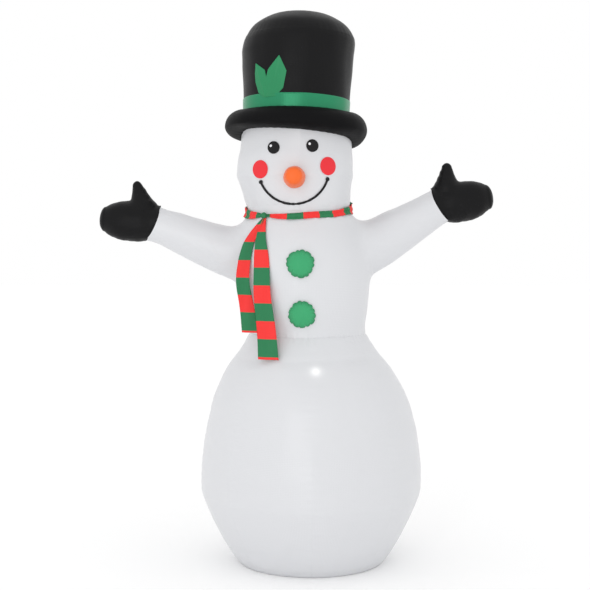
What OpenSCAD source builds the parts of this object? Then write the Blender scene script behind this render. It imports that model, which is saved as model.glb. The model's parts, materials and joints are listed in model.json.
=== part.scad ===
// Inflatable yard snowman: a sewn fabric envelope kept up by a built-in blower, with a light string
// inside, a zip to let the air out, ground straps, tether rings, a scarf and a top hat.
// Frame: origin on the ground under the middle of the lower body, +Z up, the face looks along -Y.
// Azimuths are measured from the front (-Y), positive towards +X.

/* [Lower body] */
// Widest diameter of the lower body
belly_d = 964; // [940:4:980]
// Diameter of the flat base disc
base_d = 632; // [620:2:640]
// Height of the waist seam
waist_z = 1000; // [996:1:1004]
// Thickness of every sewn fabric wall
wall = 1.5; // [1:0.1:2]

/* [Torso] */
// Widest diameter of the torso
torso_d = 588; // [570:2:600]
// Sideways lean of the torso's axis
torso_x = -33; // [-36:1:-30]
// Height of the neck crease, the head's pivot
neck_z = 1540; // [1536:1:1544]
// Diameter of the neck tube
neck_d = 432; // [428:1:434]

/* [Arms] */
// Rise of the arm on the -X side, in degrees
arm_rise_left = 20.7; // [16:0.1:24]
// Rise of the arm on the +X side, in degrees
arm_rise_right = 31; // [26:0.1:34]
// Shoulder pivot to cuff, -X side
arm_len_left = 419; // [400:1:430]
// Shoulder pivot to cuff, +X side
arm_len_right = 386; // [370:1:400]
// Radius of the sleeve at the cuff
cuff_r = 77.5; // [70:0.5:80]
// Length of a mitten from cuff to finger tip
mitten_len = 230; // [210:1:240]

/* [Head and face] */
// Widest diameter of the head
head_d = 510; // [500:2:516]
// Sideways lean of the head's axis
head_x = -58; // [-60:1:-54]
// Turn of the face about the vertical, in degrees
face_turn = -2.5; // [-5:0.5:5]
// Roll of the face, in degrees, negative lifts the +X side
face_roll = -2.5; // [-4:0.5:4]
// Diameter of each eye
eye_d = 52; // [40:1:60]
// Length of the stuffed nose
nose_len = 112; // [80:1:140]

/* [Hat] */
// Height of the brim's outer edge
brim_z = 1893; // [1890:1:1896]
// Diameter over the brim
brim_d = 624; // [600:2:640]
// Widest diameter of the crown
crown_d = 492; // [480:2:500]
// Height of the crown above the brim's edge
crown_h = 506; // [480:1:520]
// Backward tilt of the hat, in degrees
hat_pitch = 2.5; // [0:0.5:4]
// Sideways tilt of the hat, in degrees, positive lowers the +X side
hat_roll = 1.5; // [-2:0.5:2]

/* [Scarf] */
// Height of the scarf wrapped round the neck
wrap_h = 28; // [24:1:30]
// Width of a hanging scarf tail
tail_w = 86; // [60:2:90]

/* [Blower] */
// Height of the blower's axis
blower_z = 140; // [138:1:150]
// Inside diameter of the fan duct
duct_d = 126; // [120:1:128]
// Number of fan blades
blade_count = 7; // [5:1:9]
// Number of screws in the clamp ring
screw_count = 6; // [6:2:6]

/* [Anchors and tethers] */
// Distance of the anchor grommets from the body's axis
grommet_reach = 500; // [496:1:520]
// Hole diameter of an anchor grommet
grommet_hole_d = 12; // [10:0.5:14]

/* [Hidden] */
$fn = 72;

white_cloth = [0.93, 0.94, 0.95];
black_cloth = [0.10, 0.10, 0.10];
green_cloth = [0.20, 0.55, 0.34];
red_cloth = [0.85, 0.16, 0.15];

gap = 0.4;                 // air left between parts that only rest on each other
belly_r = belly_d / 2;
base_r = base_d / 2;
torso_r = torso_d / 2;
neck_r = neck_d / 2;
head_r = head_d / 2;
gore_angle = 45;           // eight gores go round the lower body
seam_angle = 0.05;         // opening between neighbouring panels

// ---- Curves -------------------------------------------------------------------------------------

// One point of a smooth curve through the points p, on the span that starts at point i
function spline_point(p, i, t) =
    let (n = len(p) - 1, a = p[max(i - 1, 0)], b = p[i], c = p[i + 1], d = p[min(i + 2, n)])
    0.5 * (2 * b + (c - a) * t + (2 * a - 5 * b + 4 * c - d) * t * t
        + (3 * b - a - 3 * c + d) * t * t * t);

// A smooth curve through the points p, with n steps on each span
function smooth(p, n = 3) = [
    for (i = [0:len(p) - 2]) for (k = [0:n - 1]) spline_point(p, i, k / n),
    p[len(p) - 1]];

// The outward unit normal at point i of a profile that runs upwards
function outward_normal(p, i) =
    let (d = p[min(i + 1, len(p) - 1)] - p[max(i - 1, 0)])
    [d[1], -d[0]] / norm(d);

// A profile moved outwards by t, or inwards where t is negative
function moved(p, t) = [
    for (i = [0:len(p) - 1]) let (q = p[i] + t * outward_normal(p, i)) [max(q[0], 0), q[1]]];

function reversed(p) = [for (i = [len(p) - 1:-1:0]) p[i]];

// The radius of a profile at height z
function radius_at(p, z) = lookup(z, [for (q = p) [q[1], q[0]]]);

// Points of an ellipse arc in radius and height
function arc(centre, rx, rz, from, to, n = 8) = [
    for (k = [0:n]) let (a = from + (to - from) * k / n)
        [centre[0] + rx * cos(a), centre[1] + rz * sin(a)]];

// ---- Profiles, as radius and height -------------------------------------------------------------

// The zip lies on the straight stretch between zip_foot and zip_head
zip_foot = [belly_r - 137, 30];
zip_head = [belly_r - 20, 252];
belly_profile = concat(
    [[base_r + 2, 0], [belly_r - 149, 12], zip_foot],
    smooth([
        zip_head, [belly_r - 3, 316], [belly_r, 380], [belly_r - 11, 516], [belly_r - 44, 674],
        [belly_r - 84, 792], [belly_r - 132, 874], [belly_r - 192, 947], [246, waist_z]]));
torso_profile = smooth([
    [246, waist_z + 3], [torso_r - 32, 1062], [torso_r - 10, 1166], [torso_r, 1271],
    [torso_r - 6, 1347], [torso_r - 22, 1413], [252, 1462], [243, 1487]]);
ball_r = neck_r - 4;       // the head turns on this sphere inside the neck tube
head_profile = concat(
    [for (a = [-8:4:12]) [ball_r * cos(a), neck_z + ball_r * sin(a)]],
    smooth([
        [226, 1611], [head_r - 15, 1639], [head_r, 1690], [head_r - 6, 1764],
        [head_r - 12, 1810], [head_r - 14, 1880]]));
brim_r = brim_d / 2;
brim_top = 80;             // height of the brim's upper seam above its edge
brim_drop = 60;            // depth of the brim's lower seam under its edge
brim_profile = concat(
    reversed(arc([238, 0], brim_r - 238, -brim_drop, 0, 90)),
    arc([231, 0], brim_r - 231, brim_top, 10, 90, 7));
crown_r = crown_d / 2;
crown_profile = smooth([
    [crown_r - 17, brim_top + 1], [crown_r - 15, 140], [crown_r - 6, 240],
    [crown_r, 339], [crown_r - 10, crown_h - 114]]);
crown_top_profile = smooth([
    [crown_r - 10, crown_h - 113], [crown_r - 24, crown_h - 88], [crown_r - 42, crown_h - 60],
    [crown_r - 79, crown_h - 34], [112, crown_h - 10], [50, crown_h - 1], [0, crown_h]]);

// ---- Helpers ------------------------------------------------------------------------------------

// A sewn wall between two distances from a profile, over a range of azimuths
module wall_between(profile, inner, outer, from = -180, to = 180) {
    rotate([0, 0, from - 90])
        rotate_extrude(angle = to - from)
            polygon(concat(moved(profile, outer), reversed(moved(profile, inner))));
}

// The solid that a profile encloses, moved outwards by grow
module enclosed(profile, grow) {
    p = moved(profile, grow);
    rotate_extrude()
        polygon(concat(p, [[0, p[len(p) - 1][1]], [0, p[0][1]]]));
}

// Turns a part that faces the front to an azimuth
module at_azimuth(a) {
    rotate([0, 0, a]) children();
}

// A cylinder along +Y, from y0 to y1
module along_y(r, y0, y1) {
    translate([0, y0, 0]) rotate([-90, 0, 0]) cylinder(r = r, h = y1 - y0);
}

// A ring along +Y
module ring_y(outer_r, inner_r, y0, y1) {
    difference() {
        along_y(outer_r, y0, y1);
        along_y(inner_r, y0 - 1, y1 + 1);
    }
}

// ---- Lower body ---------------------------------------------------------------------------------

module blower_hole() {
    translate([0, 0, blower_z]) along_y(sleeve_r + gap, 200, 600);
}

// Gore n of the lower body, counted from the back on the -X side
module belly_panel(n) {
    from = -180 + (n - 1) * gore_angle;
    touches_blower = n == 1 || n == 8;
    color(white_cloth)
        difference() {
            wall_between(belly_profile, -wall, 0, from + seam_angle, from + gore_angle - seam_angle);
            if (touches_blower) blower_hole();
        }
}

module base_disc() {
    color(white_cloth) cylinder(r = base_r, h = wall);
}

// ---- Torso --------------------------------------------------------------------------------------

shoulder_r = 108;          // sphere on which a sleeve turns in its armhole
shoulder_in = 19;          // depth of the shoulder pivot inside the torso's side
shoulder_left = [torso_x - torso_r + 5 + shoulder_in, 0, 1337];
shoulder_right = [torso_x + torso_r - 5 - shoulder_in, 0, 1364];
armhole_gap = 4;

module torso_panel(from, to) {
    color(white_cloth)
        difference() {
            translate([torso_x, 0, 0])
                wall_between(torso_profile, -wall, 0, from + seam_angle, to - seam_angle);
            translate(shoulder_left) sphere(r = shoulder_r + armhole_gap);
            translate(shoulder_right) sphere(r = shoulder_r + armhole_gap);
        }
}

// Tube of cloth that the head turns in
module neck_collar() {
    color(white_cloth)
        translate([head_x, 0, 1450])
            difference() {
                cylinder(r = neck_r, h = neck_z + 8 - 1450);
                translate([0, 0, -1]) cylinder(r = neck_r - wall, h = 100);
            }
}

// A stuffed button on the front of the torso at height z
module button(x, z) {
    button_r = 59;
    puff = 26;
    color(green_cloth)
        difference() {
            translate([x, -radius_at(torso_profile, z) - gap, z])
                rotate([90, 0, 0])
                    rotate_extrude()
                        polygon(concat([[0, -14], [button_r, -14]],
                            arc([button_r - 10, 0], 10, 10, 0, 60, 4),
                            arc([0, 0], button_r - 5, puff, 40, 90, 6)));
            translate([torso_x, 0, 0]) enclosed(torso_profile, gap);
        }
}

// ---- Scarf --------------------------------------------------------------------------------------

wrap_pitch = 7.5;          // the wrap hangs lower at the front
wrap_roll = -2.4;
knot_azimuth = -37;
knot_z = 1516;
knot_r = 19;

// A band round the neck, open where the knot sits
module scarf_wrap() {
    knot_half_angle = 5.5;
    color(red_cloth)
        translate([head_x, 0, neck_z])
            rotate([wrap_pitch, wrap_roll, knot_azimuth + knot_half_angle - 90])
                rotate_extrude(angle = 360 - 2 * knot_half_angle)
                    translate([neck_r + 6, -wrap_h / 2]) square([5, wrap_h]);
}

module at_knot() {
    translate([head_x, 0, 0])
        at_azimuth(knot_azimuth) translate([0, -neck_r - knot_r - 3, knot_z]) children();
}

module scarf_knot() {
    color(green_cloth)
        at_knot()
            rotate_extrude()
                polygon([
                    [0, -21], [11, -20], [17, -13], [knot_r, 0], [17, 13], [11, 20], [0, 21]]);
}

// A flat strip of scarf that hangs from the knot. drop lists its distance from the torso's axis and
// its height, from the top down. widths and shifts list its width at each of those points, and how
// far its middle lies to the +X side
module scarf_tail(azimuth, drop, widths, shifts) {
    thick = 3;
    steps = len(drop) - 1;
    left = [for (i = [0:steps]) [shifts[i] - widths[i] / 2, drop[i][1]]];
    right = [for (i = [steps:-1:0]) [shifts[i] + widths[i] / 2, drop[i][1]]];
    color(red_cloth)
        translate([torso_x, 0, 0])
            at_azimuth(azimuth)
                intersection() {
                    rotate([90, 0, -90])
                        linear_extrude(height = 2 * tail_w + 20, center = true)
                            polygon(concat(drop, [for (i = [steps:-1:0]) drop[i] + [thick, 0]]));
                    rotate([90, 0, 0])
                        linear_extrude(height = 600)
                            polygon(concat(left, right));
                }
}

tail_front_azimuth = -36;
tail_front_drop = [
    [254, 1490], [270, 1446], [288, 1396], [300, 1335], [305, 1270], [306, 1165],
    [309, 1020], [318, 905]];
tail_front_widths = [30, 38, 50, 66, 78, 82, 84, tail_w];
tail_front_shifts = [-20, -18, -10, -4, 2, 14, 32, 46];
tail_back_azimuth = -54;
tail_back_drop = [
    [254, 1490], [270, 1446], [288, 1396], [300, 1335], [305, 1270], [305, 1165], [300, 1012]];
tail_back_widths = [26, 34, 44, 52, 60, 66, 74];
tail_back_shifts = [26, 14, 0, -8, -10, 4, 26];

// ---- Arms ---------------------------------------------------------------------------------------

// Places a part whose +Z runs along an arm from the shoulder
module on_arm(shoulder, side, rise) {
    translate(shoulder) rotate([0, side * (90 - rise), 0]) children();
}

// Slabs that take away everything past the cuff plane, and everything before it
module past_cuff(len, tilt) {
    translate([0, 0, len]) rotate([0, tilt, 0])
        translate([-200, -200, -gap / 2]) cube([400, 400, 400]);
}

module before_cuff(len, tilt) {
    translate([0, 0, len]) rotate([0, tilt, 0])
        translate([-200, -200, -400 + gap / 2]) cube([400, 400, 400]);
}

hand_turn = 14;            // the hand bends down from the line of the arm by this angle
ball_end = 58;             // angle from the arm's line at which the shoulder ball becomes the sleeve

module sleeve(shoulder, side, rise, len) {
    start = shoulder_r * cos(ball_end);
    wide = shoulder_r * sin(ball_end);
    profile = concat(
        [for (a = [108:-6:ball_end + 1]) [shoulder_r * sin(a), shoulder_r * cos(a)]],
        [[wide, start], [cuff_r + 12, len * 0.66], [cuff_r, len], [cuff_r, len + 30]]);
    color(white_cloth)
        on_arm(shoulder, side, rise)
            difference() {
                wall_between(profile, -wall, 0);
                past_cuff(len, side * hand_turn / 2);
            }
}

// A mitten: a palm with a thumb that stands up, hollow and open at the cuff
module mitten(shoulder, side, rise, len, thumb_base, thumb_tip) {
    palm = concat(
        [[cuff_r, -30], [cuff_r, 0]],
        smooth([
            [cuff_r + 2, 12], [85, 50], [88, 95], [83, 145], [66, mitten_len - 40],
            [36, mitten_len - 10], [0, mitten_len]]));
    color(black_cloth)
        difference() {
            union() {
                on_arm(shoulder, side, rise)
                    translate([0, 0, len]) rotate([0, side * hand_turn, 0]) enclosed(palm, 0);
                thumb(thumb_base, thumb_tip, 0);
            }
            on_arm(shoulder, side, rise)
                translate([0, 0, len]) rotate([0, side * hand_turn, 0]) enclosed(palm, -wall);
            thumb(thumb_base, thumb_tip, -wall);
            on_arm(shoulder, side, rise) before_cuff(len, side * hand_turn / 2);
        }
}

module thumb(base, tip, grow) {
    way = tip - base;
    long = norm(way);
    lean = acos(way[2] / long) * (way[0] < 0 ? -1 : 1);
    translate(base)
        rotate([0, lean, 0])
            union() {
                cylinder(r1 = 48 + grow, r2 = 30 + grow, h = long);
                translate([0, 0, long]) sphere(r = 30 + grow);
            }
}

// ---- Head ---------------------------------------------------------------------------------------

module in_hat_frame() {
    translate([head_x - 8, 0, brim_z]) rotate([-hat_pitch, hat_roll, 0]) children();
}

module under_the_hat() {
    in_hat_frame() translate([0, 0, -brim_drop - gap]) cylinder(r = 400, h = 400);
}

module head_panel(from, to) {
    color(white_cloth)
        difference() {
            translate([head_x, 0, 0])
                wall_between(head_profile, -wall, 0, from + seam_angle, to - seam_angle);
            under_the_hat();
        }
}

face_z = 1700;             // height about which the face rolls

// Cuts a patch of cloth out of a layer over the face. The child is its outline, as seen from the
// front and measured from the middle of the head at face_z
module face_patch(level) {
    translate([head_x, 0, 0])
        at_azimuth(face_turn)
            intersection() {
                wall_between(head_profile, level, level + 1, -70, 70);
                translate([0, -100, face_z])
                    rotate([90, 0, 0])
                        rotate([0, 0, -face_roll])
                            linear_extrude(height = 300) children();
            }
}

eye_spread = 84;
eye_up = 105;
module eyes() {
    for (side = [-1, 1]) {
        color(black_cloth) face_patch(gap)
            translate([side * eye_spread, eye_up]) circle(d = eye_d);
        color("white") face_patch(gap + 1.1)
            translate([side * eye_spread - 12, eye_up + 8]) circle(d = 10);
    }
}

module cheeks() {
    for (side = [-1, 1])
        color(red_cloth) face_patch(gap)
            translate([side * 149, 15]) polygon([for (a = [0:12:348]) [32 * cos(a), 38 * sin(a)]]);
}

smile_r = 156;
smile_half_angle = 69;
smile_up = 9;              // height of the smile circle's centre above face_z
module mouth() {
    line_w = 9;
    inner = [for (a = [-smile_half_angle:6:smile_half_angle])
        (smile_r - line_w / 2) * [sin(a), -cos(a)]];
    outer = [for (a = [-smile_half_angle:6:smile_half_angle])
        (smile_r + line_w / 2) * [sin(a), -cos(a)]];
    color(black_cloth)
        face_patch(gap)
            translate([0, smile_up])
                union() {
                    polygon(concat(inner, reversed(outer)));
                    for (side = [-1, 1])
                        translate(smile_r * [side * sin(smile_half_angle), -cos(smile_half_angle)])
                            circle(r = 8.5);
                }
}

nose_z = 1670;
module nose() {
    nose_r = 47;
    color("orange")
        difference() {
            translate([head_x, 0, nose_z])
                at_azimuth(face_turn)
                    translate([0, -head_r + 12, 0])
                        rotate([90, 0, 0])
                            rotate_extrude()
                                polygon(concat([[0, 0], [nose_r, 0]],
                                    smooth([
                                        [nose_r, 12], [nose_r - 5, nose_len * 0.5],
                                        [nose_r - 15, nose_len * 0.85], [18, nose_len + 8],
                                        [0, nose_len + 12]])));
            translate([head_x, 0, 0]) enclosed(head_profile, gap);
        }
}

// ---- Hat ----------------------------------------------------------------------------------------

module hat_brim() {
    color(black_cloth) in_hat_frame() wall_between(brim_profile, -wall, 0);
}

module hat_crown_wall() {
    color(black_cloth) in_hat_frame() wall_between(crown_profile, -wall, 0);
}

module hat_crown_top() {
    color(black_cloth) in_hat_frame() wall_between(crown_top_profile, -wall, 0);
}

band_h = 58;
module hat_band() {
    color(green_cloth)
        in_hat_frame()
            intersection() {
                wall_between(crown_profile, gap, gap + 1);
                translate([0, 0, brim_top + 3]) cylinder(r = 300, h = band_h);
            }
}

leaf_azimuth = -33;
leaf_base_z = brim_top + band_h + 4;
leaf_left = [
    [-24, 0], [-58, 21], [-76, 68], [-78, 104], [-70, 145], [-20, 118], [-5, 82], [4, 0]];
leaf_right = [
    [4.6, 0], [-4.4, 82], [3, 118], [58, 172], [92, 108], [87, 82], [75, 39], [40, 0]];
module holly_leaves() {
    color(green_cloth)
        in_hat_frame()
            at_azimuth(leaf_azimuth)
                intersection() {
                    wall_between(crown_profile, gap, gap + 1, -60, 60);
                    translate([0, -100, leaf_base_z])
                        rotate([90, 0, 0])
                            linear_extrude(height = 200) {
                                polygon(leaf_left);
                                polygon(leaf_right);
                            }
                }
}

// ---- Blower -------------------------------------------------------------------------------------

duct_r = duct_d / 2;
duct_wall = 3;
flange_r = duct_r + duct_wall + 16;
sleeve_r = flange_r + 3;
ring_y0 = 463.5;           // inner face of the clamp ring
ring_t = 6;
screw_circle_r = duct_r + duct_wall + 8;

module at_blower() {
    translate([0, 0, blower_z]) children();
}

// Places a copy of the child at each clamp screw
module each_screw() {
    for (k = [0:screw_count - 1])
        rotate([0, k * 360 / screw_count, 0]) translate([screw_circle_r, 0, 0]) children();
}

// Fabric sleeve from the lower body to the clamp ring, with a turned-in hem under the ring
module blower_sleeve() {
    color(white_cloth)
        difference() {
            at_blower()
                union() {
                    ring_y(sleeve_r, sleeve_r - wall, 330, ring_y0 - 0.1);
                    ring_y(sleeve_r, duct_r + duct_wall, ring_y0 - 1.4, ring_y0 - 0.1);
                }
            enclosed(belly_profile, gap);
            at_blower() {
                each_screw() along_y(2.6, 300, 500);
                inlet_hole();
            }
        }
}

module inlet_hole() {
    translate([0, 0, -screw_circle_r]) along_y(6.3, 300, 500);
}

module clamp_ring() {
    color("black")
        at_blower()
            difference() {
                ring_y(sleeve_r + 2, duct_r + 1, ring_y0, ring_y0 + ring_t);
                each_screw() along_y(2.3, 300, 500);
                inlet_hole();
            }
}

module clamp_screws() {
    color("silver")
        at_blower()
            each_screw()
                difference() {
                    union() {
                        along_y(2, 454, ring_y0 + ring_t);
                        along_y(4, ring_y0 + ring_t, ring_y0 + ring_t + 2.6);
                    }
                    for (a = [0, 90])
                        rotate([0, a, 0])
                            translate([-2.6, ring_y0 + ring_t + 1.4, -0.5]) cube([5.2, 3, 1]);
                }
}

// Finger guard: rings on spokes, held inside the clamp ring
module intake_grille() {
    spoke_w = 3;
    color("black")
        at_blower()
            union() {
                ring_y(duct_r + 0.8, duct_r - 3, ring_y0, ring_y0 + 5);
                for (r = [14:12:duct_r - 10]) ring_y(r + 1.2, r - 1.2, ring_y0 + 1, ring_y0 + 4);
                along_y(8, ring_y0 + 1, ring_y0 + 4);
                for (k = [0:5])
                    rotate([0, k * 60, 0])
                        translate([5, ring_y0 + 1, -spoke_w / 2]) cube([duct_r - 7, 3, spoke_w]);
            }
}

duct_y0 = 370;
module fan_housing() {
    color("black")
        at_blower()
            difference() {
                union() {
                    ring_y(duct_r + duct_wall, duct_r, duct_y0, ring_y0 - 1.5);
                    ring_y(flange_r, duct_r, ring_y0 - 6, ring_y0 - 1.5);
                }
                each_screw() along_y(2.1, 300, 500);
                inlet_hole();
            }
}

motor_r = 16;
shaft_r = 2;
module motor_mount() {
    color("black")
        at_blower()
            union() {
                along_y(motor_r + 5, duct_y0 + 2, duct_y0 + 5);
                ring_y(5, 3.5, duct_y0 + 4, duct_y0 + 40);
                for (k = [0:3])
                    rotate([0, k * 90 + 45, 0])
                        translate([motor_r + 2, duct_y0 + 2, -3]) cube([duct_r - motor_r - 2.2, 3, 6]);
            }
}

// Coil pack of the brushless motor: a core with nine wound teeth
module motor_stator() {
    teeth = 9;
    color("brown")
        at_blower()
            difference() {
                union() {
                    along_y(9, duct_y0 + 12, duct_y0 + 32);
                    for (k = [0:teeth - 1])
                        rotate([0, k * 360 / teeth, 0])
                            translate([7, duct_y0 + 14, -2]) cube([motor_r - 7, 16, 4]);
                }
                along_y(5.02, 300, 500);
            }
}

module motor_bearings() {
    color("goldenrod")
        at_blower()
            for (y = [duct_y0 + 8, duct_y0 + 30]) ring_y(3.48, shaft_r + 0.05, y, y + 6);
}

module motor_shaft() {
    color("silver") at_blower() along_y(shaft_r, duct_y0 + 6, duct_y0 + 58);
}

module rotor_magnet() {
    color("gray") at_blower() ring_y(motor_r + 4.3, motor_r + 1.5, duct_y0 + 12, duct_y0 + 34);
}

// Fan wheel: a cup over the motor with pitched blades
module impeller() {
    hub_r = motor_r + 7;
    hub_y = duct_y0 + 10;
    hub_len = 48;
    color("black")
        at_blower()
            union() {
                difference() {
                    along_y(hub_r, hub_y, hub_y + hub_len);
                    along_y(hub_r - 2.6, hub_y - 1, hub_y + hub_len - 4);
                    along_y(shaft_r, hub_y, hub_y + hub_len + 1);
                }
                intersection() {
                    ring_y(duct_r - 2.5, hub_r - 0.5, hub_y, hub_y + hub_len);
                    union()
                        for (k = [0:blade_count - 1])
                            rotate([0, k * 360 / blade_count, 0])
                                translate([hub_r - 1, hub_y + 24, 0])
                                    rotate([38, 0, 0]) translate([0, -25, -1]) cube([45, 50, 2]);
                }
            }
}

// Low-voltage inlet: a screw collar round a socket with its contact pin
module power_inlet() {
    color("black")
        at_blower()
            translate([0, 0, -screw_circle_r])
                union() {
                    difference() {
                        union() {
                            along_y(6, 448, ring_y0 + ring_t);
                            along_y(7, ring_y0 + ring_t, ring_y0 + ring_t + 14);
                        }
                        along_y(4.2, ring_y0 + ring_t + 2, 500);
                    }
                    along_y(1, ring_y0 + ring_t + 1.5, ring_y0 + ring_t + 12);
                }
}

// ---- Lights -------------------------------------------------------------------------------------

lead_r = 2.5;
// Route of the light string's lead: from the inlet up the inside of the back, over to the front of
// the lower body's top, and on up the torso
lead_route = [
    [0, 447, 66], [0, 400, 66], [0, 350, 66], [40, 300, 80], [90, 285, 130], [110, 300, 210],
    [90, 340, 300], [40, 390, 400], [0, 425, 500], [0, 428, 600], [0, 400, 700], [0, 330, 780],
    [5, 200, 800], [10, 50, 780], [15, -120, 770], [20, -250, 785], [20, -300, 820],
    [15, -260, 900], [0, -190, 970], [-20, -100, 1040], [-33, 10, 1130], [-33, 130, 1230],
    [-33, 210, 1320], [-33, 222, 1400], [-33, 222, 1430]];

function unit(v) = v / norm(v);
// A ring of points round place i of a path, with its first axis square to world up or X
function ring_points(path, i, r, sides) =
    let (
        d = unit(path[min(i + 1, len(path) - 1)] - path[max(i - 1, 0)]),
        u = unit(cross(d, [1, 0.02, 0])),
        w = cross(d, u))
    [for (k = [0:sides - 1]) path[i] + r * (cos(k * 360 / sides) * u + sin(k * 360 / sides) * w)];

// A round tube along a path
module swept_tube(path, r, sides = 8) {
    rings = len(path);
    points = [for (i = [0:rings - 1]) each ring_points(path, i, r, sides)];
    quads = [for (i = [0:rings - 2]) for (k = [0:sides - 1])
        [i * sides + k, i * sides + (k + 1) % sides,
         (i + 1) * sides + (k + 1) % sides, (i + 1) * sides + k]];
    caps = [
        [for (k = [sides - 1:-1:0]) k],
        [for (k = [0:sides - 1]) (rings - 1) * sides + k]];
    polyhedron(points, concat(quads, caps), convexity = 10);
}

module light_lead() {
    color("white") swept_tube(smooth(lead_route, 3), lead_r);
}

// Lamps stand out from the lead towards the front
lamp_places = [[0, 427, 560], [20, -300, 810], [-33, 222, 1415]];
module lamp_sockets() {
    color("white")
        for (p = lamp_places)
            translate(p + [0, -7, 0])
                rotate([90, 0, 0])
                    union() {
                        translate([0, 0, -4]) cylinder(r = 9, h = 18);
                        cylinder(r = 12, h = 4);
                    }
}

module lamp_lenses() {
    color("lightyellow")
        for (p = lamp_places)
            translate(p + [0, -21 - gap, 0])
                rotate([90, 0, 0])
                    rotate_extrude()
                        polygon(concat([[0, 0], [13, 0]], smooth([
                            [13, 4], [12, 14], [7, 22], [0, 25]])));
}

// Ribbon ties sewn to the cloth, each looped round the lead: place, and length of the ribbon
light_tie_places = [[[0, 428, 600], 19], [[-33, 222, 1390], 42]];
module light_ties() {
    color(white_cloth)
        for (t = light_tie_places)
            translate(t[0])
                union() {
                    difference() {
                        translate([0, 0, -6]) cylinder(r = lead_r + 2.6, h = 12);
                        translate([0, 0, -7]) cylinder(r = lead_r + 1.2, h = 14);
                    }
                    translate([-0.7, lead_r + 1.8, -6]) cube([1.4, t[1], 12]);
                }
}

// ---- Zip ----------------------------------------------------------------------------------------

zip_azimuth = 135;
zip_way = zip_head - zip_foot;
zip_lean = atan(zip_way[0] / zip_way[1]);
zip_len = 236;
tape_y = -0.3;             // the tape's inner face, just off the cloth
tape_t = 1;
chain_t = 2;

// Local frame on the zip: +Z up along it, -Y away from the cloth
module on_zip() {
    at_azimuth(zip_azimuth)
        translate([0, -zip_foot[0], zip_foot[1]]) rotate([zip_lean, 0, 0]) children();
}

module zip_tapes() {
    color(white_cloth)
        on_zip()
            for (side = [-1, 1])
                translate([side * 7.6 - 7.5, tape_y - tape_t, 8]) cube([15, tape_t, zip_len]);
}

module zip_chain() {
    color("white")
        on_zip()
            union() {
                translate([-2.8, tape_y - tape_t - chain_t, 12])
                    cube([5.6, chain_t, zip_len - 8]);
                for (z = [9, zip_len + 4])
                    translate([-4, tape_y - tape_t - chain_t - 0.6, z]) cube([8, chain_t + 0.6, 3]);
            }
}

slider_len = 18;
slider_z = 13;
bridge_y = tape_y - tape_t - 8.5;
module zip_slider() {
    channel_y = tape_y - tape_t - chain_t - 0.4;
    color("silver")
        on_zip()
            difference() {
                union() {
                    translate([-6, tape_y - tape_t - 5, slider_z]) cube([12, 4.6, slider_len]);
                    for (side = [-1, 1])
                        translate([side * 3.6 - 0.9, bridge_y - 1.6, slider_z + 5])
                            cube([1.8, 5.6, 7]);
                    translate([-3.6, bridge_y, slider_z + 8.5])
                        rotate([0, 90, 0]) cylinder(r = 1, h = 7.2);
                }
                translate([-3.3, channel_y, slider_z - 1]) cube([6.6, 4, slider_len + 2]);
            }
}

// The tab hangs plumb from the slider's bridge
module zip_pull() {
    color("silver")
        on_zip()
            translate([0, bridge_y, slider_z + 8.5])
                rotate([-zip_lean, 0, 0])
                    difference() {
                        union() {
                            rotate([0, 90, 0]) cylinder(r = 2.2, h = 5, center = true);
                            translate([-2.5, -0.9, -10]) cube([5, 1.8, 9]);
                            translate([-4.5, -0.9, -38]) cube([9, 1.8, 29]);
                        }
                        rotate([0, 90, 0]) cylinder(r = 1.06, h = 6, center = true);
                        translate([0, 0, -33]) rotate([90, 0, 0])
                            cylinder(r = 2.2, h = 6, center = true);
                    }
}

// ---- Anchors and tethers ------------------------------------------------------------------------

anchor_azimuths = [-160, -132, 132, 160];
strap_z = 0.8;
strap_t = 2.4;
barrel_r = grommet_hole_d / 2 + 1.2;

module anchor_straps() {
    strap_w = 40;
    strap_from = base_r + 6;
    color("white")
        for (a = anchor_azimuths)
            at_azimuth(a)
                difference() {
                    translate([-strap_w / 2, -grommet_reach - 22, strap_z])
                        cube([strap_w, grommet_reach + 22 - strap_from, strap_t]);
                    translate([0, -grommet_reach, -1]) cylinder(r = barrel_r + 0.05, h = 10);
                }
}

// Brass eyelets: a barrel with a flange on each face of the strap
module anchor_grommets() {
    flange_r = barrel_r + 4.5;
    total = 2 * strap_z + strap_t;
    color("goldenrod")
        for (a = anchor_azimuths)
            at_azimuth(a)
                translate([0, -grommet_reach, 0])
                    difference() {
                        union() {
                            cylinder(r = flange_r, h = strap_z);
                            cylinder(r = barrel_r, h = total);
                            translate([0, 0, strap_z + strap_t]) cylinder(r = flange_r, h = strap_z);
                        }
                        translate([0, 0, -1]) cylinder(d = grommet_hole_d, h = 10);
                    }
}

tether_azimuth = 140;
tether_z = 1443;
tether_lean = 24;          // slope of the shoulder under the tabs
bar_r = 2;
tunnel_r = bar_r + 1.7;
tether_off = tunnel_r + 1.2;
ring_in = 13;              // half the clear width of a ring

// Local frame at a tether ring's bar: X along the bar, +Z up the slope, -Y away from the torso
module on_tether(side) {
    translate([torso_x, 0, 0])
        at_azimuth(side * tether_azimuth)
            translate([0, -radius_at(torso_profile, tether_z), tether_z])
                rotate([-tether_lean, 0, 0]) translate([0, -tether_off, 0]) children();
}

// Webbing tabs on the back of the shoulders, each with a tunnel for its ring's bar
module tether_tabs() {
    color("white")
        for (side = [-1, 1])
            on_tether(side)
                difference() {
                    union() {
                        rotate([0, 90, 0]) cylinder(r = tunnel_r, h = 20, center = true);
                        translate([-10, tunnel_r - 2, 0]) cube([20, 2, 30]);
                    }
                    rotate([0, 90, 0]) cylinder(r = bar_r + 0.05, h = 22, center = true);
                }
}

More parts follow.
